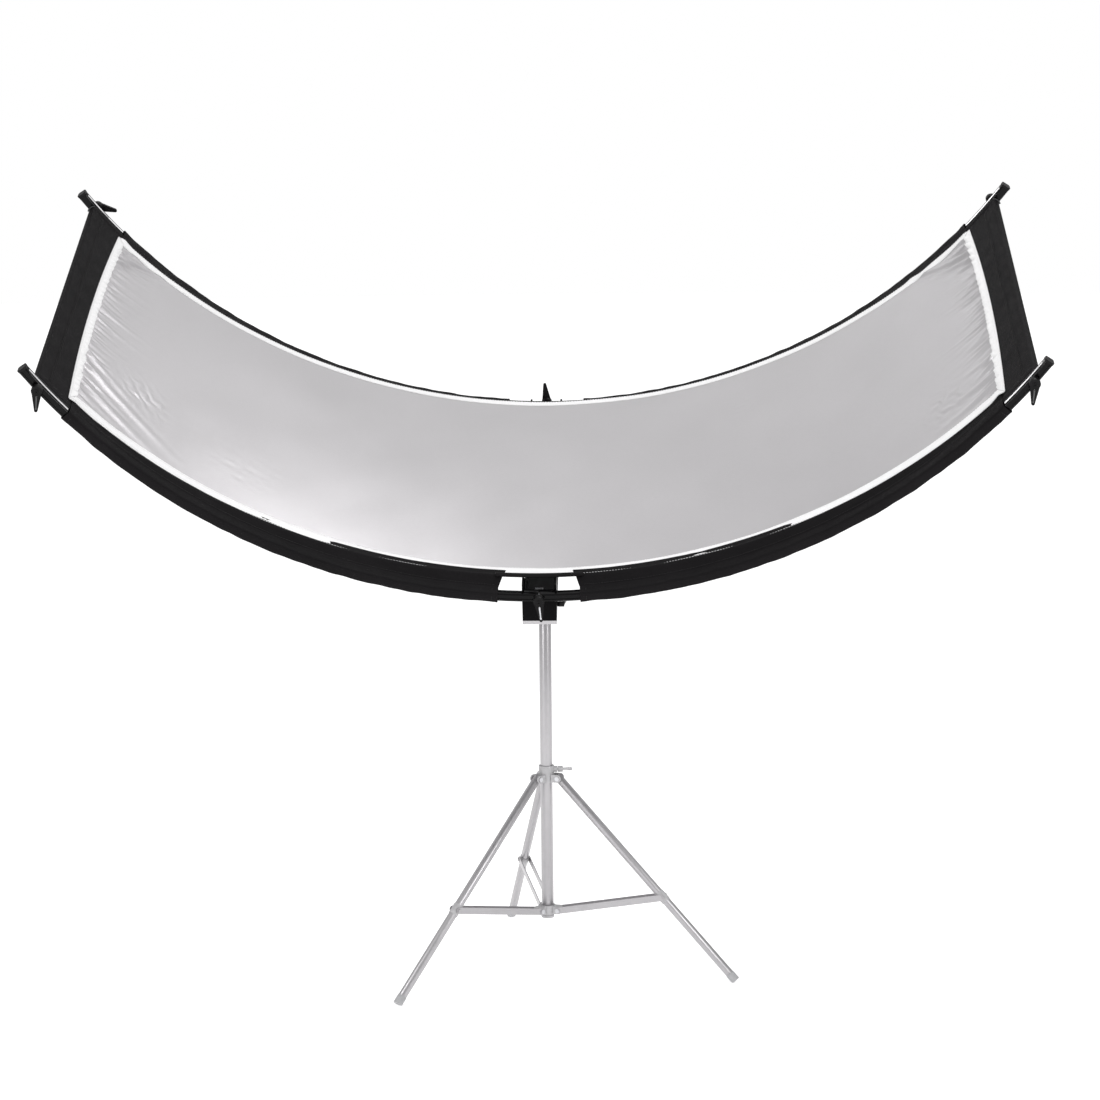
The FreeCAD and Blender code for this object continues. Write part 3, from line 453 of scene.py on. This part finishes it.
# Tension folds: hand (-1 left), place across at the end seam, slope across per length inward,
# length, half width, depth.
LONG_FOLDS = [
    (-1, -0.140, -0.36, 0.215, 0.0080, 0.0023),
    (-1, -0.168, -0.30, 0.120, 0.0050, 0.0014),
    (-1, -0.192, -0.27, 0.185, 0.0085, 0.0025),
    (-1, -0.216, -0.20, 0.110, 0.0060, 0.0016),
    (-1, -0.108, -0.40, 0.140, 0.0060, 0.0015),
    (-1, 0.214, 0.30, 0.135, 0.0065, 0.0036),
    (-1, 0.200, 0.42, 0.115, 0.0055, 0.0036),
    (-1, 0.184, 0.46, 0.130, 0.0060, 0.0032),
    (-1, 0.166, 0.35, 0.070, 0.0050, 0.0012),
    (1, 0.212, 0.34, 0.150, 0.0065, 0.0042),
    (1, 0.190, 0.50, 0.165, 0.0070, 0.0042),
    (1, 0.168, 0.46, 0.110, 0.0060, 0.0034),
    (1, 0.148, 0.40, 0.080, 0.0050, 0.0026),
    (1, -0.070, -0.16, 0.065, 0.0055, 0.0026),
    (1, -0.112, 0.05, 0.072, 0.0060, 0.0032),
    (1, -0.150, 0.12, 0.085, 0.0060, 0.0034),
    (1, -0.196, 0.04, 0.120, 0.0065, 0.0034),
    (1, -0.222, -0.05, 0.140, 0.0065, 0.0028),
]
# Shallow crumples: angle in degrees, place across, reach along and across, depth.
CRUMPLES = [
    (-31.0, -0.165, 0.045, 0.035, 0.0003),
    (-43.0, -0.120, 0.035, 0.030, 0.0008),
    (44.0, -0.175, 0.030, 0.040, 0.0009),
    (22.0, 0.110, 0.040, 0.030, 0.0005),
]
PLEATS_REACH = 0.238                   # the small gathers lie within this, each way across
PUCKERS = 70                           # more than fit across the sheet


def short_pleats():
    """Small gathers all along both end seams."""
    rng = np.random.default_rng(41)
    folds = []
    for hand in (-1, 1):
        place = -PLEATS_REACH
        while place < PLEATS_REACH:
            slope = rng.uniform(-0.12, 0.12) + 0.35 * (place / SHEET_HALF) ** 3
            length, width = rng.uniform(0.026, 0.070), rng.uniform(0.0028, 0.0045)
            folds.append((hand, place, slope, length, width, rng.uniform(0.0011, 0.0024)))
            place += rng.uniform(0.008, 0.019)
    return folds


def puckers(inward, across, hand):
    """Rounded puffs with sharp creases between them, where the sheet is gathered on an end seam."""
    rng = np.random.default_rng(57 + hand)
    places = np.cumsum(np.concatenate([[-SHEET_HALF - 0.002], rng.uniform(0.006, 0.017, PUCKERS)]))
    depth = rng.uniform(0.0012, 0.0044, PUCKERS)
    length = rng.uniform(0.016, 0.050, PUCKERS)
    lean = 0.22 * across / SHEET_HALF + 0.05 * soft_noise(across, across * 0, 5 + hand, 0.06)
    seat = np.clip(across - lean * inward, places[0], places[-1] - 0.0001)
    lane = np.searchsorted(places, seat, side="right") - 1
    share = (seat - places[lane]) / np.diff(places)[lane]
    fade = np.exp(-(np.maximum(inward, 0) / length[lane]) ** 1.5) * smooth_step(0.001, 0.012, inward)
    return depth[lane] * (1 - (2 * share - 1) ** 2) * fade


def fold_height(angle, across):
    """Height that folds, pleats and crumples add to the sheet."""
    inward = (seam_angle(across) - np.abs(angle)) * ARC_RADIUS
    swells = 0.00035 * soft_noise(angle * ARC_RADIUS, across, 7, 0.16)
    total = swells * smooth_step(0.02, 0.09, inward)
    for hand, start, slope, length, width, depth in LONG_FOLDS + short_pleats():
        off = (across - start - slope * inward - 0.25 * slope * inward * inward / length) / width
        share = np.clip(inward / length, 0, 1)
        fade = (1 - share) ** 1.3 * smooth_step(0.003, 0.014, inward) * (inward < length)
        ridge = (1 - off * off) * np.exp(-0.5 * off * off)
        total = total + np.where(angle * hand > 0, depth * fade * ridge, 0)
    for hand in HANDS.values():
        total = total + np.where(angle * hand > 0, puckers(inward, across + 0 * angle, hand), 0)
    for middle, place, reach_along, reach_across, depth in CRUMPLES:
        along = angle * ARC_RADIUS - math.radians(middle) * ARC_RADIUS
        near = np.exp(-(along / reach_along) ** 2 - ((across - place) / reach_across) ** 2)
        wave = np.sin((along * 0.75 + (across - place) * 0.65) / 0.0026
                      + 1.5 * soft_noise(along, across, 3, 0.03))
        total = total + depth * near * wave * (0.6 + 0.4 * soft_noise(along, across, 9, 0.02))
    return total


def spaced_shares():
    """Shares of the half arc, closer together near the end seam."""
    near = np.linspace(0, 0.20, 112)
    middle = np.linspace(0.20, 1.0, 84)[1:]
    inner = 1 - np.concatenate([near, middle])
    return np.concatenate([-inner, inner[::-1][1:]])


def reflective_sheet():
    across = np.linspace(-SHEET_HALF, SHEET_HALF, 200)[None, :]
    angle = spaced_shares()[:, None] * seam_angle(across)
    height = cloth_height(angle, across) + fold_height(angle, across)
    sheet = cloth_grid("silver_sheet", angle, across, height, [SILVER, SILVER_BACK], "reflector")
    thicken(sheet, SHEET_THICK, back_slot=1)
    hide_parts("reflective_sheet")
    return sheet


def binding_strip(kind, hand):
    """One side of the white binding: arrays of angle and place, with mitred corners."""
    width = np.linspace(0, 1, BINDING_COLUMNS)
    if kind == "long":
        along = spaced_shares()[:, None]
        across = hand * (SHEET_HALF + BINDING_PROUD - width[None, :] * LONG_BINDING)
        reach = seam_angle(across) - width[None, :] * END_BINDING / ARC_RADIUS
        angle = along * reach
    else:
        along = np.linspace(-1, 1, 240)[:, None]
        across = along * (SHEET_HALF - width[None, :] * LONG_BINDING)
        outward = BINDING_PROUD - width[None, :] * END_BINDING
        angle = hand * (seam_angle(across) + outward / ARC_RADIUS)
    return angle, across


def white_binding():
    """Four strips of white tape with mitred corners, lying on the sheet."""
    verts, faces, uvs, count = [], [], [], 0
    edge_roll = np.array([-0.0004, 0.0005, 0.00075, 0.0007, 0.00065, 0.00065, 0.0007, 0.0007,
                          0.0002])
    for kind, hand in (("long", 1), ("long", -1), ("end", 1), ("end", -1)):
        angle, across = binding_strip(kind, hand)
        height = cloth_height(angle, across) + fold_height(angle, across) + edge_roll[None, :]
        points = to_row(angle, across, height)
        flip = (kind == "long") == (hand > 0)
        verts.append(points.reshape(-1, 3))
        faces.append(grid_faces(*angle.shape, start=count, flip=flip))
        length = angle * ARC_RADIUS if kind == "long" else across
        width = np.broadcast_to(np.linspace(0, 0.02, BINDING_COLUMNS), angle.shape)
        uvs.append(np.stack([length, width], -1).reshape(-1, 2))
        count += angle.size
    tape = make_object("white_binding", np.concatenate(verts), np.concatenate(faces), WHITE,
                       "reflector", np.concatenate(uvs))
    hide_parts("edge_binding")
    return tape


def binding_stitches():
    """Two rows of white stitches round the binding."""
    parts = []
    for side_inset, end_inset in ((OUTER_STITCHES, OUTER_STITCHES),
                                  (LONG_BINDING - INNER_STITCHES, END_BINDING - INNER_STITCHES)):
        for hand in (1, -1):
            place = SHEET_HALF - side_inset
            reach = seam_angle(np.array(place)) - end_inset / ARC_RADIUS
            angle = np.linspace(-reach, reach, 500)
            across = np.full_like(angle, hand * place)
            height = cloth_height(angle, across) + fold_height(angle, across) + 0.0008
            parts += stitch_line(angle, across, height)
            across = np.linspace(-place, place, 260)
            angle = hand * (seam_angle(across) - end_inset / ARC_RADIUS)
            height = cloth_height(angle, across) + fold_height(angle, across) + 0.0008
            parts += stitch_line(angle, across, height)
    stitches = make_object("binding_stitches", *joined(parts), WHITE_THREAD, "reflector")
    return stitches


# ---- black cloth ----------------------------------------------------------------------------
# Outline of a rear sleeve: place across and height, from the border over the top of the rail, round
# it and back to the seam under the border.
SLEEVE_LOOP = [
    (0.2826, 0.0084), (0.2860, 0.0086), (0.2900, 0.0086), (0.2940, 0.0084), (0.2972, 0.0077),
    (0.2982, 0.0058), (0.2984, 0.0025), (0.2984, -0.0020), (0.2982, -0.0058), (0.2970, -0.0077),
    (0.2938, -0.0083), (0.2898, -0.0084), (0.2858, -0.0082), (0.2828, -0.0075), (0.2818, -0.0053),
    (0.2815, -0.0015), (0.2813, 0.0025), (0.2808, 0.0056), (0.2794, 0.0070),
]
# The border's columns, as places from the sheet's edge.
BORDER_COLUMNS = [-0.0115, -0.0060, -0.0014, 0.0010, 0.0040, 0.0070, 0.0100, 0.0125, 0.0147]


def sleeve(side, hand):
    """Black border and rail sleeve, one cloth from the sheet's edge round the rail."""
    share = np.linspace(0, 1, 236)[:, None]
    border = SHEET_HALF + np.array(BORDER_COLUMNS)[None, :]
    loop = np.array(SLEEVE_LOOP)
    # The border's inner edge reaches a little further into the gap than the sleeve does.
    taper = math.radians(0.72) * (BORDER_OUTER - border) / (BORDER_OUTER - border[0, 0])
    border_angle = (GAP - taper) + share * (SLEEVE_END - GAP + taper)
    along = border_angle * ARC_RADIUS
    under = np.where(border < SHEET_HALF, -UNDER_SHEET, -0.0002)
    slack = 0.00035 * soft_noise(along * 0.6, border * 2.4, 11 + hand, 0.028)
    slack = slack * smooth_step(SHEET_HALF - 0.0014, SHEET_HALF + 0.0060, border)
    # The front border takes the rear's height too, so it stands up to REAR_RISE too high.
    border_height = cloth_height(border_angle, border) + under + slack
    border_height = border_height + 0.0004 * np.exp(-((border - SHEET_HALF - 0.0020) / 0.0012) ** 2)
    loop_angle = np.broadcast_to(GAP + share * (SLEEVE_END - GAP), (share.size, len(loop)))
    out = loop - np.array([RAIL_Y, 0.0])
    out = out / np.linalg.norm(out, axis=1)[:, None]
    run = loop_angle * ARC_RADIUS
    lane = np.arange(len(loop))[None, :] * SLEEVE_STEP
    swell = 0.00042 * soft_noise(run, lane * 1.5, 23 + hand + side, 0.034)
    from_end = np.minimum(share, 1 - share) * (SLEEVE_END - GAP) * ARC_RADIUS
    hem = 0.0004 * (1 - smooth_step(0.0085, 0.0105, from_end))
    hem = hem + 0.0004 * (1 - smooth_step(0.0, 0.0030, from_end))
    swell = swell * smooth_step(0.0, 0.012, from_end) + hem
    swell = swell * np.where(lane < lane.max() - 0.004, 1, 0.2)
    loop_across = loop[:, 0][None, :] + out[:, 0][None, :] * swell
    loop_height = loop[:, 1][None, :] + out[:, 1][None, :] * swell
    angle = np.concatenate([border_angle, loop_angle], 1)
    across = np.concatenate([np.broadcast_to(border, border_angle.shape), loop_across], 1)
    height = np.concatenate([border_height, loop_height], 1)
    name = ("rear" if side > 0 else "front") + "_sleeve_" + ("right" if hand > 0 else "left")
    cloth = cloth_grid(name + "_cloth", angle * hand, across * side, height, BLACK, "reflector",
                       flip=side * hand < 0)
    thicken(cloth, SLEEVE_THICK)
    subdivide(cloth)
    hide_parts(name)
    return cloth


def sleeve_stitches():
    """Black stitches along the border's seam, and across the sleeves' hems."""
    parts = []
    for side in SIDES.values():
        for hand in HANDS.values():
            angle = np.linspace(GAP + 0.004, SLEEVE_END - 0.004, 420) * hand
            for place in (SHEET_HALF + 0.0033, SHEET_HALF + 0.0145):
                across = np.full_like(angle, side * place)
                parts += stitch_line(angle, across, cloth_height(angle, across) + 0.0006)
            on_top, outside = ((0.2842, 0.0092), (0.2960, 0.0090)), ((0.2991, 0.0055), (0.2991, -0.0055))
            for end in (GAP + HEM / ARC_RADIUS, SLEEVE_END - HEM / ARC_RADIUS):
                for start, stop in (on_top, outside):
                    line = np.linspace(start, stop, 12)
                    parts += stitch_line(np.full(12, end * hand), line[:, 0] * side, line[:, 1],
                                         pitch=0.0034, length=0.0025)
    stitches = make_object("sleeve_stitches", *joined(parts), BLACK_THREAD, "reflector")
    return stitches


# Outline of an end panel: arc length outward from the end seam, and height.
PANEL_LOOP = [
    (0.006, 0.0069), (0.014, 0.0070), (0.023, 0.0070), (0.032, 0.0070), (0.0395, 0.0071),
    (0.0460, 0.0072), (0.0520, 0.0071), (0.0562, 0.0062), (0.0581, 0.0040), (0.0586, 0.0),
    (0.0581, -0.0040), (0.0562, -0.0062), (0.0520, -0.0071), (0.0460, -0.0072), (0.0410, -0.0069),
    (0.0384, -0.0056), (0.0377, -0.0022), (0.0373, 0.0020), (0.0366, 0.0046), (0.0335, 0.0054),
    (0.0280, 0.0055),
]
PANEL_ROWS = 190                       # rows of vertices across a panel


def end_panel(hand):
    """Black end panel: from under the sheet's end, round the end bar and sewn back on itself."""
    across = np.linspace(-PANEL_HALF, PANEL_HALF, PANEL_ROWS)[:, None]
    far = np.abs(across)
    lap = 0.007 + 0.0085 * smooth_step(SHEET_HALF - 0.0050, SHEET_HALF + 0.0020, far)
    inner = np.concatenate([-lap, -lap * 0.4, 0.0015 + 0 * lap], 1)
    inner_height = np.broadcast_to([0.0062, 0.0064, 0.0067], inner.shape)
    loop = np.broadcast_to(PANEL_LOOP, (PANEL_ROWS, len(PANEL_LOOP), 2))
    length = np.concatenate([inner, loop[:, :, 0]], 1)
    height = np.concatenate([inner_height, loop[:, :, 1]], 1)
    seam_bow = seam_angle(np.clip(across, -SHEET_HALF, SHEET_HALF)) - SEAM
    bow = seam_bow * np.clip(1 - length / 0.036, 0, 1)
    hem = 0.0008 * smooth_step(PANEL_HALF - 0.0115, PANEL_HALF - 0.0095, far)
    wave = 0.00035 * soft_noise(across, length, 31 + hand, 0.05)
    top_side = np.arange(length.shape[1])[None, :] < 11
    outward = np.where(top_side, 1, -1) * (length < 0.056)
    height = height + outward * (hem + wave * smooth_step(0.0, 0.01, length))
    angle = (SEAM + length / ARC_RADIUS + bow) * hand
    points = to_row(angle, across, height)
    uv = np.stack([np.broadcast_to(across, angle.shape), length], -1)
    name = ("right" if hand > 0 else "left") + "_end_panel"
    faces = grid_faces(*angle.shape, flip=hand > 0)
    panel = make_object(name + "_cloth", points, faces, BLACK, "reflector", uv)
    thicken(panel, PANEL_THICK)
    subdivide(panel)
    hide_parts(name)
    return panel


def smooth_line(places):
    """Points along a smooth curve near the given ones."""
    curve = bpy.data.curves.new("line", "CURVE")
    curve.dimensions = "3D"
    spline = curve.splines.new("NURBS")
    spline.points.add(len(places) - 1)
    for point, place in zip(spline.points, places):
        point.co = (*place, 1)
    spline.order_u = 3
    spline.use_endpoint_u = True
    curve.resolution_u = 6
    carrier = bpy.data.objects.new("line", curve)
    smooth = bpy.data.meshes.new_from_object(carrier)
    bpy.data.objects.remove(carrier)
    return [vertex.co[:] for vertex in smooth.vertices]


def panel_trim():
    """Piping along the end panels' side edges, and their stitch rows."""
    tubes, rows = [], []
    loop = np.array([(-0.012, 0.0070), (0.0, 0.0074)] + PANEL_LOOP[:12])
    edge = np.full(len(loop), PANEL_HALF - 0.0009)
    length = np.linspace(0.002, 0.050, 30)
    for hand in HANDS.values():
        for side in SIDES.values():
            places = to_row((SEAM + loop[:, 0] / ARC_RADIUS) * hand, side * edge, loop[:, 1] - 0.0016)
            tubes.append(tube_mesh(smooth_line(places), PIPING_RADIUS, sides=10))
            across = np.full(30, side * (PANEL_HALF - PANEL_SIDE_STITCHES))
            rows += stitch_line((SEAM + length / ARC_RADIUS) * hand, across, np.full(30, 0.0080))
        across = np.linspace(-PANEL_HALF + 0.013, PANEL_HALF - 0.013, 200)
        for place in PANEL_SEAM_STITCHES:
            angle = np.full(200, (SEAM + place / ARC_RADIUS) * hand)
            rows += stitch_line(angle, across, np.full(200, 0.0075))
    piping = make_object("panel_piping", *joined(tubes), PIPING_PAINTED_SHEEN, "reflector")
    stitches = make_object("panel_stitches", *joined(rows), BLACK_THREAD, "reflector")
    return piping, stitches


def gap_tape():
    """Black tape on the sheet's front edge where the rails are bare."""
    angle = np.linspace(-GAP - 0.006, GAP + 0.006, 90)[:, None]
    outline = np.array([(-0.0024, 0.0009), (-0.0014, 0.0016), (0.0015, 0.0016), (0.0046, 0.0008),
                        (0.0064, -0.0006), (0.0060, -0.0018), (0.0032, -0.0024), (-0.0010, -0.0023),
                        (-0.0050, -0.0019)])
    across = np.broadcast_to(-SHEET_HALF - outline[:, 0], (90, len(outline)))
    # This is the rear edge's height, up to REAR_RISE over the front one's.
    height = cloth_height(angle, SHEET_HALF) + outline[:, 1]
    tape = cloth_grid("front_gap_tape", angle, across, height, BLACK, "reflector", flip=True)
    subdivide(thicken(tape, GAP_TAPE_THICK))
    return tape


def painted_highlight_rail_strips():
    """Bright metal strips along the upper faces of the rails' bare ends: a painted highlight where the
    glossy black rails catch a light.
    """
    outline = np.array([(-0.0020, 0.0064), (-0.0020, 0.0066), (-0.0018, 0.0067), (0.0, 0.0067),
                        (0.0018, 0.0067), (0.0020, 0.0066), (0.0020, 0.0064)])
    start, stop = SLEEVE_END + math.radians(0.10), RAIL_END - math.radians(0.35)
    angle = np.linspace(start, stop, 40)[:, None]
    size, parts = len(outline), []
    for side in SIDES.values():
        for hand in HANDS.values():
            points = to_row(angle * hand, side * (RAIL_Y + outline[None, :, 0]), outline[None, :, 1])
            turn = side * hand          # which way round the faces go
            faces = []
            for i in range(len(angle) - 1):
                for k in range(size):
                    n = (k + 1) % size
                    quad = (i * size + k, i * size + n, (i + 1) * size + n, (i + 1) * size + k)
                    faces.append(quad[::-turn])
            last = (len(angle) - 1) * size
            faces.append(tuple(range(size))[::-turn])
            faces.append(tuple(range(last, last + size))[::turn])
            parts.append((points.reshape(-1, 3), faces))
    highlight_strips = make_object("painted_highlight_rail_strips", *joined(parts), FINISHES["painted_highlight_strip"], "reflector",
                         smooth=False)


# ---- CAD nodes ------------------------------------------------------------------------------
def dress_nodes():
    """Gives every hard CAD node its finish and softens its edges. The soft ones are replaced."""
    for node in frame["nodes"].values():
        slot_name = node.material_slots[0].material.name.split(".")[0]
        finish = FINISHES.get(slot_name)
        if finish is None:
            continue
        for material_slot in node.material_slots:
            material_slot.material = finish
        weld = node.modifiers.new("weld", "WELD")
        weld.merge_threshold = 0.00002
        bevel = node.modifiers.new("edges", "BEVEL")
        bevel.width = 0.0004
        bevel.segments = 2
        bevel.limit_method = "ANGLE"
        bevel.angle_limit = math.radians(35)
        bevel.harden_normals = True


def screw_cap(name, joint, lift, radius=0.0030):
    """Socket screw head set in the end of a lever's or knob's hub."""
    axis = Vector(joint["axis"]).normalized()
    turn = axis.to_track_quat("Z", "Y").to_matrix().to_4x4()
    place = Matrix.Translation(Vector(joint["pos_m"]) + axis * lift) @ turn
    # Rings of points: radius, level, and whether the ring is a hexagon, as the socket is.
    rings = [(radius, -0.0008, False), (radius, 0.0006, False), (radius * 0.86, 0.0010, False),
             (radius * 0.52, 0.0010, True), (radius * 0.48, 0.0008, True), (radius * 0.48, -0.0004, True)]
    verts, faces, starts = [], [], []
    for ring_radius, level, hexagon in rings:
        starts.append(len(verts))
        for k in range(CAP_POINTS):
            a = 2 * math.pi * k / CAP_POINTS
            reach = ring_radius
            if hexagon:
                from_flat = (a % (math.pi / 3)) - math.pi / 6
                reach = ring_radius * math.cos(math.pi / 6) / math.cos(from_flat) * 1.1
            verts.append(place @ Vector((reach * math.cos(a), reach * math.sin(a), level)))
    for first, second in zip(starts, starts[1:]):
        for k in range(CAP_POINTS):
            n = (k + 1) % CAP_POINTS
            faces.append((first + k, first + n, second + n, second + k))
    faces.append(tuple(starts[-1] + k for k in range(CAP_POINTS)))
    faces.append(tuple(range(CAP_POINTS))[::-1])
    cap = make_object(name, [tuple(v) for v in verts], faces, FINISHES["black_plastic"],
                      joint["child"], smooth=False)


def lever_rib(name, joint, node, finish):
    """Rib along the outside of a lever's wing, from its hub to near its tip."""
    axis = Vector(joint["axis"]).normalized()
    origin = Vector(joint["pos_m"])
    points = [node.matrix_world @ v.co - origin for v in node.data.vertices]
    reach = [(p - axis * p.dot(axis)).length for p in points]
    far = [p for p, r in zip(points, reach) if r > max(reach) - 0.0015]
    tip = max(far, key=lambda p: p.dot(axis))
    outward = (tip - axis * tip.dot(axis)).normalized()
    drop = (tip.dot(outward) - RIB_HUB) * math.tan(RIB_RAKE)
    hub = outward * RIB_HUB + axis * (tip.dot(axis) - drop)
    share = np.linspace(0, 0.86, 16)
    line = np.array([list(origin + hub.lerp(tip, s)) for s in share])
    radius = 0.0015 - 0.0006 * share + 0.0005 * np.exp(-((share - 0.78) / 0.08) ** 2)
    radius[0] = radius[-1] = 0.0005
    rib = make_object(name, *tube_mesh(line, radius, sides=12), FINISHES[finish], joint["child"])


# ---- stage ----------------------------------------------------------------------------------
def camera():
    """Stands in front at eye height, a little to the right, and looks slightly down."""
    data = bpy.data.cameras.new("camera")
    data.sensor_width = 36.0
    data.lens = 104.8
    data.clip_start, data.clip_end = 0.1, 60.0
    cam = bpy.data.objects.new("camera", data)
    bpy.context.scene.collection.objects.link(cam)
    bpy.context.scene.camera = cam
    cam.location = (0.130, -4.868, 1.421)
    yaw, pitch, roll = math.radians(-1.425), math.radians(8.865), math.radians(-0.55)
    aim = Vector((math.sin(yaw) * math.cos(pitch), math.cos(yaw) * math.cos(pitch), -math.sin(pitch)))
    cam.rotation_mode = "QUATERNION"
    cam.rotation_quaternion = aim.to_track_quat("-Z", "Y") @ Quaternion((0, 0, 1), roll)


def area_light(name, place, target, size, power, size_y=None):
    """A soft box at a place, facing a target, which the camera doesn't see."""
    data = bpy.data.lights.new(name, "AREA")
    data.energy = power
    data.shape = "RECTANGLE"
    data.size = size
    data.size_y = size_y or size
    light = bpy.data.objects.new(name, data)
    bpy.context.scene.collection.objects.link(light)
    light.location = place
    light.rotation_mode = "QUATERNION"
    light.rotation_quaternion = (Vector(target) - Vector(place)).to_track_quat("-Z", "Y")
    light.visible_camera = False


def floor():
    """A pale disc with a slightly uneven matt surface."""
    radius, sides = 14, 95
    turns = np.linspace(0, 2 * math.pi, sides + 1)[:-1]
    verts = [(0, 0, 0)] + [(radius * math.cos(a), radius * math.sin(a), 0) for a in turns]
    faces = [(0, k, k % sides + 1) for k in range(1, sides + 1)]
    mesh = bpy.data.meshes.new("floor")
    mesh.from_pydata(verts, [], faces)
    disc = bpy.data.objects.new("floor", mesh)
    bpy.context.scene.collection.objects.link(disc)
    s = Shader("pale_floor", Roughness=0.9, Emission_Color=(1, 1, 1, 1), Emission_Strength=0.42)
    s.tint((0.97, 0.97, 0.97), s.ramp(s.noise(s.coordinates(), 3.0), 0.3, 0.7, 0.99, 1.01))
    mesh.materials.append(s.material)
    disc.location.z = -0.0005


def studio():
    """White surroundings, brighter overhead than at the horizon, and soft boxes."""
    scene = bpy.context.scene
    scene.view_settings.view_transform = "Standard"
    world = bpy.data.worlds.new("studio")
    scene.world = world
    world.use_nodes = True
    tree = world.node_tree
    tree.nodes.clear()
    output = tree.nodes.new("ShaderNodeOutputWorld")
    seen = tree.nodes.new("ShaderNodeBackground")
    seen.inputs[0].default_value = (1, 1, 1, 1)
    seen.inputs[1].default_value = 1.0
    around = tree.nodes.new("ShaderNodeBackground")
    around.inputs[0].default_value = (1, 1, 1, 1)
    where = tree.nodes.new("ShaderNodeTexCoord")
    split = tree.nodes.new("ShaderNodeSeparateXYZ")
    tree.links.new(where.outputs["Generated"], split.inputs[0])
    rise = tree.nodes.new("ShaderNodeMapRange")
    rise.inputs["To Min"].default_value = 0.42
    rise.inputs["To Max"].default_value = 0.98
    tree.links.new(split.outputs["Z"], rise.inputs["Value"])
    tree.links.new(rise.outputs[0], around.inputs[1])
    mix = tree.nodes.new("ShaderNodeMixShader")
    path = tree.nodes.new("ShaderNodeLightPath")
    tree.links.new(path.outputs["Is Camera Ray"], mix.inputs[0])
    tree.links.new(around.outputs[0], mix.inputs[1])
    tree.links.new(seen.outputs[0], mix.inputs[2])
    tree.links.new(mix.outputs[0], output.inputs[0])
    area_light("right box", (2.2, -2.3, 1.5), (-0.3, -0.3, 0.9), 0.45, 21, 1.3)
    area_light("left box", (-2.2, -2.3, 1.5), (0.3, -0.3, 0.9), 0.45, 27, 1.3)
    area_light("top box", (0.9, 0.2, 3.0), (-0.4, -0.3, 0.8), 0.9, 16)
    area_light("rear right box", (0.65, 2.2, 2.28), (-0.69, -0.15, 1.15), 0.8, 0.8, 0.45)
    area_light("rear left box", (-0.75, 2.2, 2.12), (0.7, -0.2, 1.12), 0.9, 1.8, 0.22)


# ---- making ---------------------------------------------------------------------------------
camera()
studio()
floor()
dress_nodes()

sheet = reflective_sheet()
binding = white_binding()
binding_thread = binding_stitches()
sleeves = {(s, h): sleeve(side, hand) for s, side in SIDES.items() for h, hand in HANDS.items()}
sleeve_thread = sleeve_stitches()
panels = {h: end_panel(hand) for h, hand in HANDS.items()}
piping, panel_thread = panel_trim()
tape = gap_tape()
painted_highlight_rail_strips()

for lever in ("front_left", "front_right", "front_centre", "rear_left", "rear_right",
              "rear_centre", "side"):
    turn = JOINTS[lever + "_lever_turn"]
    screw_cap(lever + "_lever_cap", turn, LEVER_HUB_TOP)
    # The front centre lever's rib is bright steel where the other ribs are glossy black plastic: a
    # painted highlight on that lever.
    lever_rib(lever + "_lever_rib", turn, frame["nodes"][lever + "_lever"],
              "steel" if lever == "front_centre" else "polished")
screw_cap("tilt_lever_cap", JOINTS["tilt_lock_turn"], TILT_HUB_TOP)
